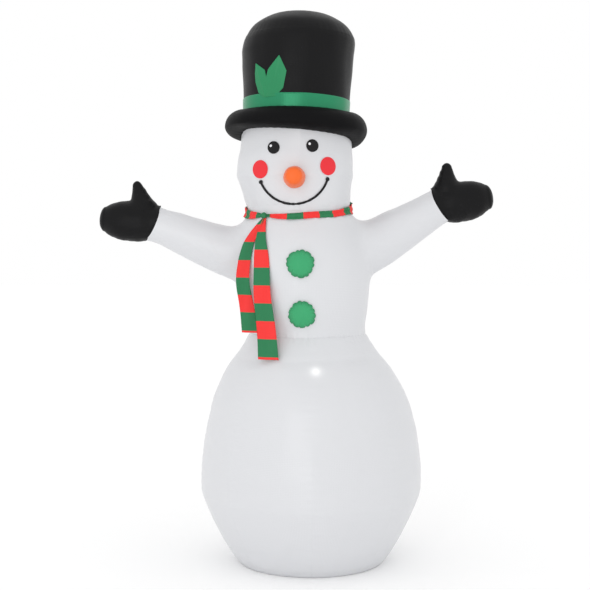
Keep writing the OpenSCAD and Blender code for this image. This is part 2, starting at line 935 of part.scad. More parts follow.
// A wire ring with a straight bar and a round bow
module tether_ring(side) {
    color("silver")
        on_tether(side)
            union() {
                rotate([0, 90, 0]) cylinder(r = bar_r, h = 2 * ring_in + 2 * bar_r, center = true);
                for (s = [-1, 1])
                    translate([s * (ring_in + bar_r), 0, -12])
                        cylinder(r = bar_r, h = 12);
                for (s = [-1, 1])
                    translate([s * (ring_in + bar_r), 0, 0]) sphere(r = bar_r);
                translate([0, 0, -12])
                    rotate([-90, 0, 0])
                        rotate_extrude(angle = 180)
                            translate([ring_in + bar_r, 0]) circle(r = bar_r);
            }
}

// ---- Nodes --------------------------------------------------------------------------------------

for (n = [1:8])
    belly_panel(n);
base_disc();
neck_collar();
torso_panel(-90, 0);  // torso_front_left
torso_panel(0, 90);  // torso_front_right
torso_panel(90, 270);  // torso_back
scarf_wrap();
scarf_knot();
scarf_tail(tail_front_azimuth, tail_front_drop, tail_front_widths, tail_front_shifts);  // scarf_tail_front
scarf_tail(tail_back_azimuth, tail_back_drop, tail_back_widths, tail_back_shifts);  // scarf_tail_back
button(-48, 1314);  // button_upper
button(-41, 1104);  // button_lower
sleeve(shoulder_left, -1, arm_rise_left, arm_len_left);  // sleeve_left
mitten(shoulder_left, -1, arm_rise_left, arm_len_left, [-742, 0, 1529], [-760, 0, 1639]);  // mitten_left
sleeve(shoulder_right, 1, arm_rise_right, arm_len_right);  // sleeve_right
mitten(shoulder_right, 1, arm_rise_right, arm_len_right, [612, 0, 1610], [601, 0, 1719]);  // mitten_right
head_panel(-90, 0);  // head_front_left
head_panel(0, 90);  // head_front_right
head_panel(90, 270);  // head_back
eyes();
cheeks();
mouth();
nose();
hat_brim();
hat_crown_wall();
hat_crown_top();
hat_band();
holly_leaves();
blower_sleeve();
clamp_ring();
clamp_screws();
intake_grille();
fan_housing();
motor_mount();
motor_stator();
motor_bearings();
power_inlet();
impeller();
rotor_magnet();
motor_shaft();
light_lead();
lamp_sockets();
lamp_lenses();
light_ties();
zip_tapes();
zip_chain();
zip_slider();
zip_pull();
anchor_straps();
anchor_grommets();
tether_tabs();
tether_ring(-1);  // tether_ring_left
tether_ring(1);  // tether_ring_right
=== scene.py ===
"""The cloth, materials, lights and camera of the inflatable yard snowman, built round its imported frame."""

import json
import math

import bmesh
import bpy
import numpy as np
from mathutils import Matrix, Vector


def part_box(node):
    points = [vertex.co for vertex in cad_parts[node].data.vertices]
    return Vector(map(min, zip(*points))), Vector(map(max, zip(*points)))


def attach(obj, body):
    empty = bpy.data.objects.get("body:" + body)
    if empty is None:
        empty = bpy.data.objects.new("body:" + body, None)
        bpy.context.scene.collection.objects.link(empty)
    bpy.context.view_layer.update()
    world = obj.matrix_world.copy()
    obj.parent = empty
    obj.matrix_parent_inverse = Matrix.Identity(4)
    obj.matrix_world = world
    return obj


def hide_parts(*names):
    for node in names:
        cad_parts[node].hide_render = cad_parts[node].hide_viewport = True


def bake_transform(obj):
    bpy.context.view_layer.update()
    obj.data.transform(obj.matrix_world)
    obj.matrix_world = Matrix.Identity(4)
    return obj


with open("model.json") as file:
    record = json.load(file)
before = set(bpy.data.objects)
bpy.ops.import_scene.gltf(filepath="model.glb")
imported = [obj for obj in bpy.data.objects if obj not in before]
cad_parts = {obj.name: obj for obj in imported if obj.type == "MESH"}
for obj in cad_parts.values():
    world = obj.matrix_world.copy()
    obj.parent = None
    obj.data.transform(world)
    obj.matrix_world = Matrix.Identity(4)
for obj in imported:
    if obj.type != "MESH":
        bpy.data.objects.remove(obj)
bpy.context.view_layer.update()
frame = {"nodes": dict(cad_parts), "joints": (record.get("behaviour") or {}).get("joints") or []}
bpy.context.scene.view_settings.view_transform = "Standard"


# ---- Measures from the frame


def span(*nodes):
    """The lowest and highest corner of several CAD nodes together, as arrays."""
    boxes = [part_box(n) for n in nodes]
    return np.min([b[0] for b in boxes], 0), np.max([b[1] for b in boxes], 0)


def middle(node):
    """The middle of one CAD node's box."""
    lo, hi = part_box(node)
    return np.array((lo + hi) / 2)


def joint_place(name):
    return np.array(next(j["pos_m"] for j in frame["joints"] if j["name"] == name))


GORES = [f"belly_panel_{n}" for n in range(1, 9)]
TORSO = ["torso_front_left", "torso_front_right", "torso_back"]
HEAD = ["head_front_left", "head_front_right", "head_back"]

belly_lo, belly_hi = span(*GORES)
torso_lo, torso_hi = span(*TORSO)
head_lo, head_hi = span(*HEAD)
BELLY_R = (belly_hi[0] - belly_lo[0]) / 2
WAIST_Z = belly_hi[2]
TORSO_R = (torso_hi[1] - torso_lo[1]) / 2
NECK = joint_place("head_nod")
NECK_Z = NECK[2]
HEAD_R = (head_hi[0] - head_lo[0]) / 2
SHOULDER = {"left": joint_place("arm_left_wave"), "right": joint_place("arm_right_wave")}
TORSO_X = (SHOULDER["left"][0] + SHOULDER["right"][0]) / 2
HEAD_X = NECK[0]


# ---- Camera

EYE = Vector((-0.070, -5.40, 1.43))
AIM_DOWN = math.radians(2.76)
FOCAL = 75.0

camera = bpy.data.objects.new("camera", bpy.data.cameras.new("camera"))
bpy.context.scene.collection.objects.link(camera)
camera.data.lens = FOCAL
camera.data.sensor_width = 36
camera.location = EYE
camera.rotation_euler = (math.pi / 2 - AIM_DOWN, 0, 0)
bpy.context.scene.camera = camera


# ---- Curves and unevenness


def curve(points):
    """A smooth function through (place, value) points that never overshoots them."""
    x, y = np.array(points, float).T
    h = np.diff(x)
    d = np.diff(y) / h
    slope = np.zeros_like(y)
    slope[0] = d[0]
    slope[-1] = d[-1]
    for i in range(1, len(x) - 1):
        if d[i - 1] * d[i] > 0:
            w1 = 2 * h[i] + h[i - 1]
            w2 = h[i] + 2 * h[i - 1]
            slope[i] = (w1 + w2) / (w1 / d[i - 1] + w2 / d[i])

    def value(t):
        t = np.clip(t, x[0], x[-1])
        i = np.clip(np.searchsorted(x, t, side="right") - 1, 0, len(x) - 2)
        s = (t - x[i]) / h[i]
        a = (1 + 2 * s) * (1 - s) ** 2 * y[i] + s * (1 - s) ** 2 * h[i] * slope[i]
        b = s * s * (3 - 2 * s) * y[i + 1] + s * s * (s - 1) * h[i] * slope[i + 1]
        return a + b

    return value


def waves(count, size, seed):
    """A smooth random function of points in space, from -1 to 1, with bumps about size across."""
    rng = np.random.RandomState(seed)
    ways = rng.normal(size=(count, 3))
    ways *= (2 * math.pi / size / np.linalg.norm(ways, axis=1) * rng.uniform(0.6, 1.3, count))[:, None]
    phases = rng.uniform(0, 2 * math.pi, count)

    def value(p):
        return np.sin(p @ ways.T + phases).sum(-1) / math.sqrt(count)

    return value


SWELL = waves(9, 0.30, 3)
DENTS = waves(12, 0.09, 5)


def near(distance, width):
    """1 on a seam, falling smoothly to 0 a few widths away."""
    return np.exp(-((distance / width) ** 2))


def turns(count):
    """Angles of count points round a circle."""
    return np.linspace(0, 2 * math.pi, count + 1)[:-1]


def polar(a, r, z):
    """Points at azimuth a, radius r and height z about the vertical through the origin."""
    return np.stack([r * np.sin(a), -r * np.cos(a), z + 0 * a], -1)


# ---- Meshes


def new_object(name, verts, faces, smooth=True):
    mesh = bpy.data.meshes.new(name)
    mesh.from_pydata([tuple(v) for v in verts], [], [tuple(f) for f in faces])
    mesh.validate()
    obj = bpy.data.objects.new(name, mesh)
    bpy.context.scene.collection.objects.link(obj)
    if smooth:
        mesh.polygons.foreach_set("use_smooth", [True] * len(mesh.polygons))
    return obj


def grid_faces(rows, cols, wrap=False):
    faces = []
    last = cols if wrap else cols - 1
    for i in range(rows - 1):
        for j in range(last):
            k = (j + 1) % cols
            below = i * cols
            above = below + cols
            faces.append((below + j, below + k, above + k, above + j))
    return faces


def sheet_object(name, points, wrap=False, close=()):
    """A mesh from a rows x columns array of points. close names the ends to close with one middle point."""
    rows, cols = points.shape[:2]
    verts = [tuple(p) for p in points.reshape(-1, 3)]
    faces = grid_faces(rows, cols, wrap)
    for end in close:
        ring = [(rows - 1) * cols + j if end == "top" else j for j in range(cols)]
        verts.append(tuple(np.mean([verts[r] for r in ring], 0)))
        last = len(verts) - 1
        for j in range(cols if wrap else cols - 1):
            a, b = ring[j], ring[(j + 1) % cols]
            faces.append((a, b, last) if end == "top" else (b, a, last))
    return new_object(name, verts, faces)


def coords(obj):
    co = np.empty(len(obj.data.vertices) * 3)
    obj.data.vertices.foreach_get("co", co)
    return co.reshape(-1, 3)


def set_coords(obj, co):
    obj.data.vertices.foreach_set("co", np.asarray(co, float).ravel())
    obj.data.update()


def apply_modifiers(obj):
    """Leaves obj with the mesh that its modifiers make, and no modifiers."""
    depsgraph = bpy.context.evaluated_depsgraph_get()
    mesh = bpy.data.meshes.new_from_object(obj.evaluated_get(depsgraph))
    old = obj.data
    obj.modifiers.clear()
    obj.data = mesh
    bpy.data.meshes.remove(old)
    return obj


def subdivide(obj):
    obj.modifiers.new("smooth", "SUBSURF").levels = 1
    return apply_modifiers(obj)


def thicken(obj, thickness):
    """Gives a sheet its thickness, half to each side."""
    m = obj.modifiers.new("thick", "SOLIDIFY")
    m.thickness = thickness
    m.offset = 0.0
    return apply_modifiers(obj)


def remesh(obj, voxel):
    m = obj.modifiers.new("remesh", "REMESH")
    m.mode = "VOXEL"
    m.voxel_size = voxel
    m.use_smooth_shade = True
    return apply_modifiers(obj)


def normals(obj):
    n = np.empty(len(obj.data.vertices) * 3)
    obj.data.vertices.foreach_get("normal", n)
    return n.reshape(-1, 3)


def cut(obj, place, normal):
    """Takes away what lies on the side of a plane that normal points to."""
    bm = bmesh.new()
    bm.from_mesh(obj.data)
    bmesh.ops.bisect_plane(
        bm,
        geom=bm.verts[:] + bm.edges[:] + bm.faces[:],
        plane_co=Vector(place),
        plane_no=Vector(normal),
        clear_outer=True,
        dist=1e-5,
    )
    bm.to_mesh(obj.data)
    bm.free()
    obj.data.update()


def duplicate(obj, name):
    twin = bpy.data.objects.new(name, obj.data.copy())
    bpy.context.scene.collection.objects.link(twin)
    return twin


def join(name, objs):
    with bpy.context.temp_override(active_object=objs[0], selected_editable_objects=list(objs)):
        bpy.ops.object.join()
    objs[0].name = name
    return objs[0]


def cloth_uv(obj, centre=(0.0, 0.0), radius=0.3):
    """Lays a cloth map on obj in metres: round the vertical through centre, and up."""
    mesh = obj.data
    layer = mesh.uv_layers.get("cloth") or mesh.uv_layers.new(name="cloth")
    co = coords(obj)
    angle = np.arctan2(co[:, 0] - centre[0], centre[1] - co[:, 1])
    index = np.empty(len(mesh.loops), int)
    mesh.loops.foreach_get("vertex_index", index)
    starts = np.empty(len(mesh.polygons), int)
    totals = np.empty(len(mesh.polygons), int)
    mesh.polygons.foreach_get("loop_start", starts)
    mesh.polygons.foreach_get("loop_total", totals)
    first = np.repeat(angle[index[starts]], totals)
    turn = (angle[index] - first + math.pi) % (2 * math.pi) - math.pi + first
    uv = np.stack([turn * radius, co[index, 2]], 1)
    layer.data.foreach_set("uv", uv.ravel())


def newton(obj, field, steps=5, reach=0.02):
    """Moves the points of obj onto the surface where field is 0, by at most reach a step."""
    p = coords(obj)
    e = 1e-4
    for _ in range(steps):
        f = field(p)
        g = np.stack([(field(p + e * axis) - field(p - e * axis)) / (2 * e) for axis in np.eye(3)], 1)
        step = f / np.maximum((g * g).sum(1), 0.2)
        p = p - np.clip(step, -reach, reach)[:, None] * g
    set_coords(obj, p)


AIR_PRESSURE = 4.0
AIR_FRAMES = 20


def inflate(obj, cap, shrink, pinned):
    """Lets air pressure fill obj as cloth, moves each point by at most cap, and keeps the result.
    pinned holds one weight a point, 1 where the cloth is held. shrink gathers the cloth."""
    before = coords(obj)
    m = obj.modifiers.new("air", "CLOTH")
    s = m.settings
    s.quality = 5
    s.mass = 0.3
    s.tension_stiffness = 12
    s.compression_stiffness = 12
    s.shear_stiffness = 5
    s.bending_stiffness = 0.05
    s.shrink_min = shrink
    s.use_pressure = True
    s.uniform_pressure_force = AIR_PRESSURE
    s.effector_weights.gravity = 0
    m.collision_settings.use_collision = False
    group = obj.vertex_groups.new(name="held")
    for i in np.nonzero(pinned > 0)[0]:
        group.add([int(i)], float(pinned[i]), "REPLACE")
    s.vertex_group_mass = "held"
    m.point_cache.frame_start = 1
    m.point_cache.frame_end = AIR_FRAMES
    scene = bpy.context.scene
    for f in range(1, AIR_FRAMES + 1):
        scene.frame_set(f)
    after = np.empty(len(before) * 3)
    evaluated = obj.evaluated_get(bpy.context.evaluated_depsgraph_get())
    evaluated.data.vertices.foreach_get("co", after)
    after = after.reshape(-1, 3)
    obj.modifiers.remove(m)
    scene.frame_set(1)
    move = after - before
    size = np.linalg.norm(move, axis=1, keepdims=True)
    set_coords(obj, before + move * np.minimum(1, cap / np.maximum(size, 1e-9)))
    obj.vertex_groups.clear()


# ---- Materials


def srgb(r, g, b):
    """A colour from 0-255 screen values, all above 10, in the linear values that Blender takes."""
    return tuple(((c / 255 + 0.055) / 1.055) ** 2.4 for c in (r, g, b)) + (1.0,)


class Nodes:
    """Short names for building a material's nodes."""

    def __init__(self, name, material=None):
        self.material = material or bpy.data.materials.new(name)
        self.material.use_nodes = True
        self.tree = self.material.node_tree
        self.shader = self.tree.nodes["Principled BSDF"]

    def add(self, kind, settings=None, **inputs):
        node = self.tree.nodes.new(kind)
        for key, value in (settings or {}).items():
            setattr(node, key, value)
        for key, value in inputs.items():
            self.put(node.inputs[key.replace("_", " ")], value)
        return node

    def put(self, socket, value):
        if isinstance(value, bpy.types.NodeSocket):
            self.tree.links.new(value, socket)
        else:
            socket.default_value = value

    def math(self, operation, a, b=0.0):
        node = self.add("ShaderNodeMath", {"operation": operation})
        self.put(node.inputs[0], a)
        self.put(node.inputs[1], b)
        return node.outputs[0]

    def ramp(self, value, low, high):
        node = self.add("ShaderNodeMapRange")
        self.put(node.inputs["Value"], value)
        node.inputs["To Min"].default_value = low
        node.inputs["To Max"].default_value = high
        return node.outputs["Result"]

    def mix(self, factor, a, b):
        node = self.add("ShaderNodeMix", {"data_type": "RGBA"})
        self.put(node.inputs[0], factor)
        self.put(node.inputs[6], a)
        self.put(node.inputs[7], b)
        return node.outputs[2]

    def set(self, **inputs):
        for key, value in inputs.items():
            self.put(self.shader.inputs[key.replace("_", " ")], value)


def shade(colour, share):
    return tuple(c * share for c in colour[:3]) + (1.0,)


BUMP = 0.0004


def weave(n, threads, strength):
    """Bump of crossing threads along the cloth map, threads to the metre, over soft unevenness."""
    uv = n.add("ShaderNodeUVMap", {"uv_map": "cloth"}).outputs[0]
    bands = []
    for way in ("X", "Y"):
        kind = {"wave_type": "BANDS", "bands_direction": way}
        wave = n.add("ShaderNodeTexWave", kind, Vector=uv, Scale=threads / 20, Distortion=0.4, Detail=1.0)
        bands.append(wave.outputs["Fac"])
    threads_height = n.math("ADD", bands[0], bands[1])
    bump = n.add("ShaderNodeBump", Strength=strength, Distance=BUMP, Height=threads_height)
    return bump.outputs["Normal"]


def cloth(name, colour, roughness=0.5, specular=0.4, mottle=0.04, sheen=0.0, threads=900, strength=0.35,
          metallic=0.0):
    """Woven polyester: fine threads, a slight change of tone, and a satin sheen."""
    n = Nodes(name)
    place = n.add("ShaderNodeTexCoord").outputs["Object"]
    tone = n.add("ShaderNodeTexNoise", Vector=place, Scale=6.0, Detail=4.0, Roughness=0.55).outputs["Fac"]
    colour_out = n.mix(n.ramp(tone, 0, 1), shade(colour, 1 - mottle), shade(colour, 1 + mottle / 2))
    slub = n.add("ShaderNodeTexNoise", Vector=place, Scale=60.0, Detail=2.0, Roughness=0.5).outputs["Fac"]
    n.set(
        Base_Color=colour_out,
        Roughness=n.ramp(slub, roughness - 0.05, roughness + 0.05),
        Normal=weave(n, threads, strength),
        Specular_IOR_Level=specular,
        Sheen_Weight=sheen,
        Sheen_Roughness=0.4,
        Metallic=metallic,
    )
    return n.material


def distance_to(n, point):
    """Distance in metres of the shaded place from a point of the object."""
    away = n.add("ShaderNodeVectorMath", {"operation": "DISTANCE"})
    n.put(away.inputs[0], n.add("ShaderNodeTexCoord").outputs["Object"])
    away.inputs[1].default_value = point
    return away.outputs["Value"]


def cloth_with_painted_highlight(name, colour, lamp, reach, highlight_strength, **kwargs):
    """White cloth with a painted highlight: a soft emission glow of the cloth itself round one point."""
    material = cloth(name, colour, **kwargs)
    n = Nodes(name, material)
    far = n.math("POWER", n.math("DIVIDE", distance_to(n, lamp), reach), 1.4)
    painted_highlight_mask = n.math("EXPONENT", n.math("MULTIPLY", far, -1.0))
    # Painted highlight: the cloth glows most at the middle point and fades with distance from it.
    n.set(Emission_Color=(1.0, 0.99, 0.95, 1.0), Emission_Strength=n.math("MULTIPLY", painted_highlight_mask, highlight_strength))
    return material


def cloth_with_painted_rim_shade(name, colour, middles, start, end, rim_shade_share, **kwargs):
    """Cloth with painted shade: its colour darkens towards the rim of each round puff, where the puff curves
    away from the light.
    """
    material = cloth(name, colour, **kwargs)
    n = Nodes(name, material)
    nearest = 1.0
    for point in middles:
        nearest = n.math("MINIMUM", nearest, distance_to(n, point))
    rim_shade = n.math("DIVIDE", n.math("SUBTRACT", nearest, start), end - start)
    base = n.shader.inputs["Base Color"].links[0].from_socket
    # Painted shade: the base colour falls to a darker share of itself towards each puff's rim.
    n.set(Base_Color=n.mix(n.ramp(rim_shade, 0, 1), base, shade(colour, rim_shade_share)))
    return material


def plain(name, colour, roughness=0.5, metallic=0.0, grain=0.0, size=250.0, specular=0.5):
    """Moulded plastic or metal: a fine grain and a slight change of roughness."""
    n = Nodes(name)
    place = n.add("ShaderNodeTexCoord").outputs["Object"]
    noise = n.add("ShaderNodeTexNoise", Vector=place, Scale=size, Detail=3.0, Roughness=0.6).outputs["Fac"]
    broad = n.add("ShaderNodeTexNoise", Vector=place, Scale=size / 12, Detail=2.0).outputs["Fac"]
    bump = n.add("ShaderNodeBump", Strength=grain, Distance=BUMP, Height=noise)
    n.set(
        Base_Color=n.mix(n.ramp(broad, 0, 1), shade(colour, 0.9), shade(colour, 1.06)),
        Roughness=n.ramp(noise, max(0.05, roughness - 0.08), roughness + 0.08),
        Metallic=metallic,
        Specular_IOR_Level=specular,
        Normal=bump.outputs["Normal"],
    )
    return n.material


# Middle of the painted highlight: the white cloth's emission glows round this point near the top of the lower
# body's front.
painted_highlight_middle = (0.016, -BELLY_R * 0.727, WAIST_Z * 0.8736)

WHITE = cloth_with_painted_highlight("white_polyester", srgb(214, 215, 218), painted_highlight_middle, 0.017, 0.55,
                  roughness=0.34, specular=0.5, mottle=0.012)
# A darker, less shiny copy of the black hat cloth for the brim alone: painted shade that keeps the brim's
# sides dark.
BRIM_BLACK_SHADED = cloth("brim_polyester", srgb(20, 20, 21), roughness=0.5, specular=0.04, mottle=0.10)
BLACK = cloth("black_polyester", srgb(22, 22, 23), roughness=0.40, specular=0.11, mottle=0.10)
button_middles = [tuple(middle(name)) for name in ("button_upper", "button_lower")]
# The buttons' green carries painted shade towards each puff's rim.
GREEN_WITH_RIM_SHADE = cloth_with_painted_rim_shade("green_polyester", srgb(64, 164, 111), button_middles, 0.046, 0.064, 0.50,
                   roughness=0.45, specular=0.15, mottle=0.07)
BAND_GREEN = cloth("green_satin", srgb(40, 138, 96), roughness=0.30, specular=0.30, mottle=0.03,
                   metallic=0.35)
LEAF_GREEN = cloth("leaf_polyester", srgb(42, 138, 90), roughness=0.38, specular=0.25, mottle=0.10)
SCARF_RED = cloth("scarf_red", srgb(240, 60, 58), roughness=0.5, specular=0.15, mottle=0.06)
SCARF_GREEN = cloth("scarf_green", srgb(48, 124, 82), roughness=0.5, specular=0.15, mottle=0.07)
CHEEK_RED = cloth("cheek_red", srgb(232, 52, 60), roughness=0.45, specular=0.2, mottle=0.04)
NOSE_ORANGE = cloth("nose_orange", srgb(244, 108, 44), roughness=0.40, specular=0.25, mottle=0.06)
FACE_BLACK = cloth("face_black", srgb(24, 23, 25), roughness=0.4, specular=0.2, mottle=0.08)
GLINT_WHITE = cloth("glint_white", srgb(240, 241, 244), roughness=0.45, mottle=0.01)
WEBBING = cloth("webbing", srgb(214, 215, 219), roughness=0.65, sheen=0.1, threads=420, strength=0.9,
                specular=0.3, mottle=0.06)
ZIP_TAPE = cloth("zip_tape", srgb(232, 233, 236), roughness=0.6, sheen=0.15, threads=700, strength=0.7)
ZIP_TEETH = plain("zip_coil", srgb(226, 228, 232), 0.35, grain=0.1)
ZIP_METAL = plain("zip_nickel", srgb(190, 190, 192), 0.28, metallic=1.0, grain=0.08, size=400.0)
HOUSING = plain("blower_black", srgb(36, 36, 38), 0.5, grain=0.5, size=600.0)
ROTOR = plain("rotor_grey", srgb(58, 60, 64), 0.45, grain=0.3, size=500.0)
STEEL = plain("zinc_steel", srgb(176, 178, 182), 0.3, metallic=1.0, grain=0.15, size=500.0)
MAGNET = plain("magnet", srgb(70, 70, 74), 0.4, metallic=0.6, grain=0.2)
COPPER = plain("copper_windings", srgb(184, 104, 58), 0.35, metallic=0.9, grain=0.8, size=900.0)
BRASS = plain("brass", srgb(196, 160, 84), 0.28, metallic=1.0, grain=0.1, size=400.0)
RUBBER = plain("cable_sheath", srgb(226, 226, 226), 0.55, grain=0.2)
SOCKET = plain("socket_white", srgb(232, 232, 230), 0.35, grain=0.1)


def lens_material():
    n = Nodes("lamp_cap")
    place = n.add("ShaderNodeTexCoord").outputs["Object"]
    noise = n.add("ShaderNodeTexNoise", Vector=place, Scale=300.0, Detail=2.0).outputs["Fac"]
    n.set(
        Base_Color=(0.95, 0.95, 0.9, 1.0),
        Roughness=n.ramp(noise, 0.12, 0.22),
        Emission_Color=(1.0, 0.96, 0.85, 1.0),
        Emission_Strength=1.5,
    )
    return n.material


def paint(obj, *materials):
    obj.data.materials.clear()
    for m in materials:
        obj.data.materials.append(m)
    return obj


def place_piece(obj, body, nodes=(), centre=None, radius=0.3):
    """Gives a finished piece its cloth map and its body, and hides the CAD nodes that it stands for."""
    cloth_uv(obj, centre if centre is not None else (HEAD_X, 0.0), radius)
    if body is not None:
        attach(obj, body)
    if nodes:
        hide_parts(*nodes)
    return obj


# ---- Shape of the body

# Sideways lean of the body's centreline, as height and X
lean = curve([
    (0.0, 0.0), (WAIST_Z * 0.62, 0.0), (WAIST_Z * 0.985, TORSO_X * 0.42), (WAIST_Z * 1.17, TORSO_X * 0.82),
    (NECK_Z * 0.875, TORSO_X * 1.12), (NECK_Z, HEAD_X * 0.91), (NECK_Z * 1.106, HEAD_X * 1.19),
    (NECK_Z * 1.185, HEAD_X * 1.10), (NECK_Z * 1.26, HEAD_X * 1.05)])

# Radius of the lower body, as shares of its height and its widest radius
belly_shape = curve([
    (0.0, 0.660), (0.014, 0.688), (0.031, 0.716), (0.252, 0.955), (0.279, 0.976), (0.306, 0.993),
    (0.36, 1.0), (0.41, 1.0), (0.516, 0.978), (0.58, 0.957), (0.65, 0.924), (0.714, 0.888), (0.77, 0.842),
    (0.82, 0.790), (0.874, 0.718), (0.91, 0.656), (0.935, 0.616), (0.965, 0.574), (0.985, 0.548),
    (1.0, 0.531)])

# Radius of the torso, neck and head, as height and radius
trunk_radius = curve([
    (WAIST_Z - 0.004, 0.2525), (WAIST_Z + 0.010, 0.2545), (WAIST_Z + 0.034, 0.2555), (WAIST_Z + 0.060, 0.263),
    (WAIST_Z + 0.113, 0.276), (WAIST_Z + 0.166, 0.285), (WAIST_Z + 0.218, 0.292), (WAIST_Z + 0.272, TORSO_R),
    (WAIST_Z + 0.345, 0.289), (WAIST_Z + 0.412, 0.275), (WAIST_Z + 0.462, 0.255), (WAIST_Z + 0.505, 0.236),
    (NECK_Z - 0.012, 0.2265), (NECK_Z + 0.024, 0.2225)])
head_radius = curve([
    (NECK_Z - 0.02, 0.2225), (NECK_Z, 0.2225), (NECK_Z + 0.020, 0.2255), (NECK_Z + 0.048, 0.2315),
    (NECK_Z + 0.096, 0.2405), (NECK_Z + 0.126, 0.2475), (NECK_Z + 0.150, HEAD_R), (NECK_Z + 0.177, 0.2535),
    (NECK_Z + 0.23, 0.249), (NECK_Z + 0.28, 0.2425), (NECK_Z + 0.34, 0.240)])


def round_point(a, r, z):
    """Points of the body at azimuth a, radius r and height z."""
    p = polar(a, r, z)
    p[..., 0] += lean(z)
    return p


def gore_share(a, count, first=0.0):
    """Where azimuth a lies between the seams of its gore, from 0 to 1."""
    return ((a - first) / (2 * math.pi / count)) % 1.0


BELLY_GORES = 8
zip_lo, zip_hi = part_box("zip_tapes")
ZIP_TURN = math.atan2(zip_lo.x + zip_hi.x, -(zip_lo.y + zip_hi.y))


def belly_r(a, z):
    """Radius of the lower body: ridges along the seams low down, shallow valleys above."""
    share = z / WAIST_Z
    base = belly_shape(share) * BELLY_R
    u = gore_share(a, BELLY_GORES)
    arch = np.sin(math.pi * u) - 0.64
    heights = [0, 0.05, 0.3, 0.5, 0.75, 0.9, 1.0]
    fullness = np.interp(share, heights, [0.0, -0.012, -0.014, -0.006, 0.006, 0.012, 0.002])
    seam = np.minimum(u, 1 - u) * (2 * math.pi / BELLY_GORES) * base
    seam_number = np.round(a / (2 * math.pi / BELLY_GORES)) % BELLY_GORES
    ends = np.clip(share * 12, 0, 1) * np.clip((1 - share) * 18, 0, 1)
    phase = 1.7 * seam_number + 1.4 * np.sin(z * 23 + seam_number)
    puckers = np.sin(z * 190 + phase) * near(seam, 0.035) * 0.0009
    hem = np.sin(a * 74 + 1.5 * np.sin(a * 9)) * near(z - WAIST_Z, 0.035) * 0.0022
    foot = np.sin(a * 60 + 1.2 * np.sin(a * 7)) * near(z - 0.02, 0.03) * 0.0016
    fold = -0.0035 * near(z - 0.905 * WAIST_Z - 0.006 * np.sin(2 * a), 0.012) * np.clip(np.cos(a) * 1.3, 0, 1)
    at_zip = near((np.abs((a - ZIP_TURN + math.pi) % (2 * math.pi) - math.pi)) * base, 0.06)
    zip_bed = -0.0085 * at_zip * np.clip((0.31 - share) * 20, 0, 1) * np.clip(share * 60, 0, 1)
    p = round_point(a, base, z)
    soft = (SWELL(p) * 0.0022 + DENTS(p) * 0.0006) * ends * (1 - at_zip) + zip_bed
    return base * (1 + fullness * arch) + puckers + hem + foot + fold + soft


def cusp(a, at, width, height):
    """A crease that stands out along a seam at one azimuth."""
    turn = np.abs((a - at + math.pi) % (2 * math.pi) - math.pi)
    return height * np.exp(-turn / width)


CHEST_SEAM = math.radians(-4.5)
FACE_TURN = math.radians(-2.5)
FACE_SEAM = math.radians(3.4)


def trunk_r(a, z):
    """Radius of the torso and neck."""
    base = trunk_radius(z)
    heights = [WAIST_Z, WAIST_Z + 0.15, WAIST_Z + 0.3, NECK_Z - 0.02, NECK_Z + 0.02]
    up = np.interp(z, heights, [0.25, 0.45, 1, 0.8, 0.2])
    front = cusp(a, CHEST_SEAM, 0.30, 0.0095) * up
    back = cusp(a, math.pi, 0.30, 0.006) * up
    hem = np.sin(a * 66 + 1.5 * np.sin(a * 8)) * near(z - WAIST_Z, 0.03) * 0.0020
    gathers = np.sin(a * 58 + 1.6 * np.sin(a * 6 + 1)) * near(z - (NECK_Z - 0.02), 0.045) * 0.0018
    p = round_point(a, base, z)
    soft = SWELL(p) * 0.0022 + DENTS(p) * 0.0007
    return base + front + back + hem + gathers + soft - 0.0015


def head_r(a, z):
    """Radius of the head, with a ridge along the middle of the face and its seams at the sides."""
    base = head_radius(z)
    up = np.interp(z, [NECK_Z, NECK_Z + 0.1, NECK_Z + 0.36], [0.5, 1, 1])
    front = cusp(a, FACE_SEAM, 0.30, 0.0085) * up
    back = cusp(a, math.pi, 0.30, 0.005) * up
    gathers = np.sin(a * 58 + 1.6 * np.sin(a * 6 + 1)) * near(z - (NECK_Z + 0.01), 0.04) * 0.0018
    p = round_point(a, base, z)
    soft = SWELL(p) * 0.0016 + DENTS(p) * 0.0006
    return base + front + back + gathers + soft - 0.001


# ---- Lower body

SEAM_COLUMNS = [0.0, 0.004, 0.014, 0.04, 0.08]
GORE_COLUMNS = SEAM_COLUMNS + list(np.linspace(0.14, 0.86, 13)) + [1 - c for c in reversed(SEAM_COLUMNS)]
BLOWER_R = (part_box("blower_sleeve")[1].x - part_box("blower_sleeve")[0].x) / 2


def belly_gore(n):
    """One of the eight gores of the lower body. It meets its neighbours edge to edge, and its top is
    tucked into the torso's hem."""
    step = 2 * math.pi / BELLY_GORES
    start = -math.pi + (n - 1) * step
    foot = [0.0, 0.004, 0.010, 0.018]
    top = [WAIST_Z - 0.009, WAIST_Z - 0.004, WAIST_Z + 0.003]
    rows = np.concatenate([foot, np.linspace(0.03, WAIST_Z - 0.016, 96), top])
    u, z = np.meshgrid(np.array(GORE_COLUMNS), rows)
    inside = np.clip(u, 1e-5, 1 - 1e-5)
    tuck = 0.004 * (z > WAIST_Z)
    r = belly_r(start + inside * step, z) - tuck
    obj = subdivide(sheet_object(f"belly_gore_{n}", round_point(start + u * step, r, z)))
    paint(obj, WHITE)
    return place_piece(obj, "root", [f"belly_panel_{n}"], (0, 0), BELLY_R)


for n in range(1, BELLY_GORES + 1):
    belly_gore(n)


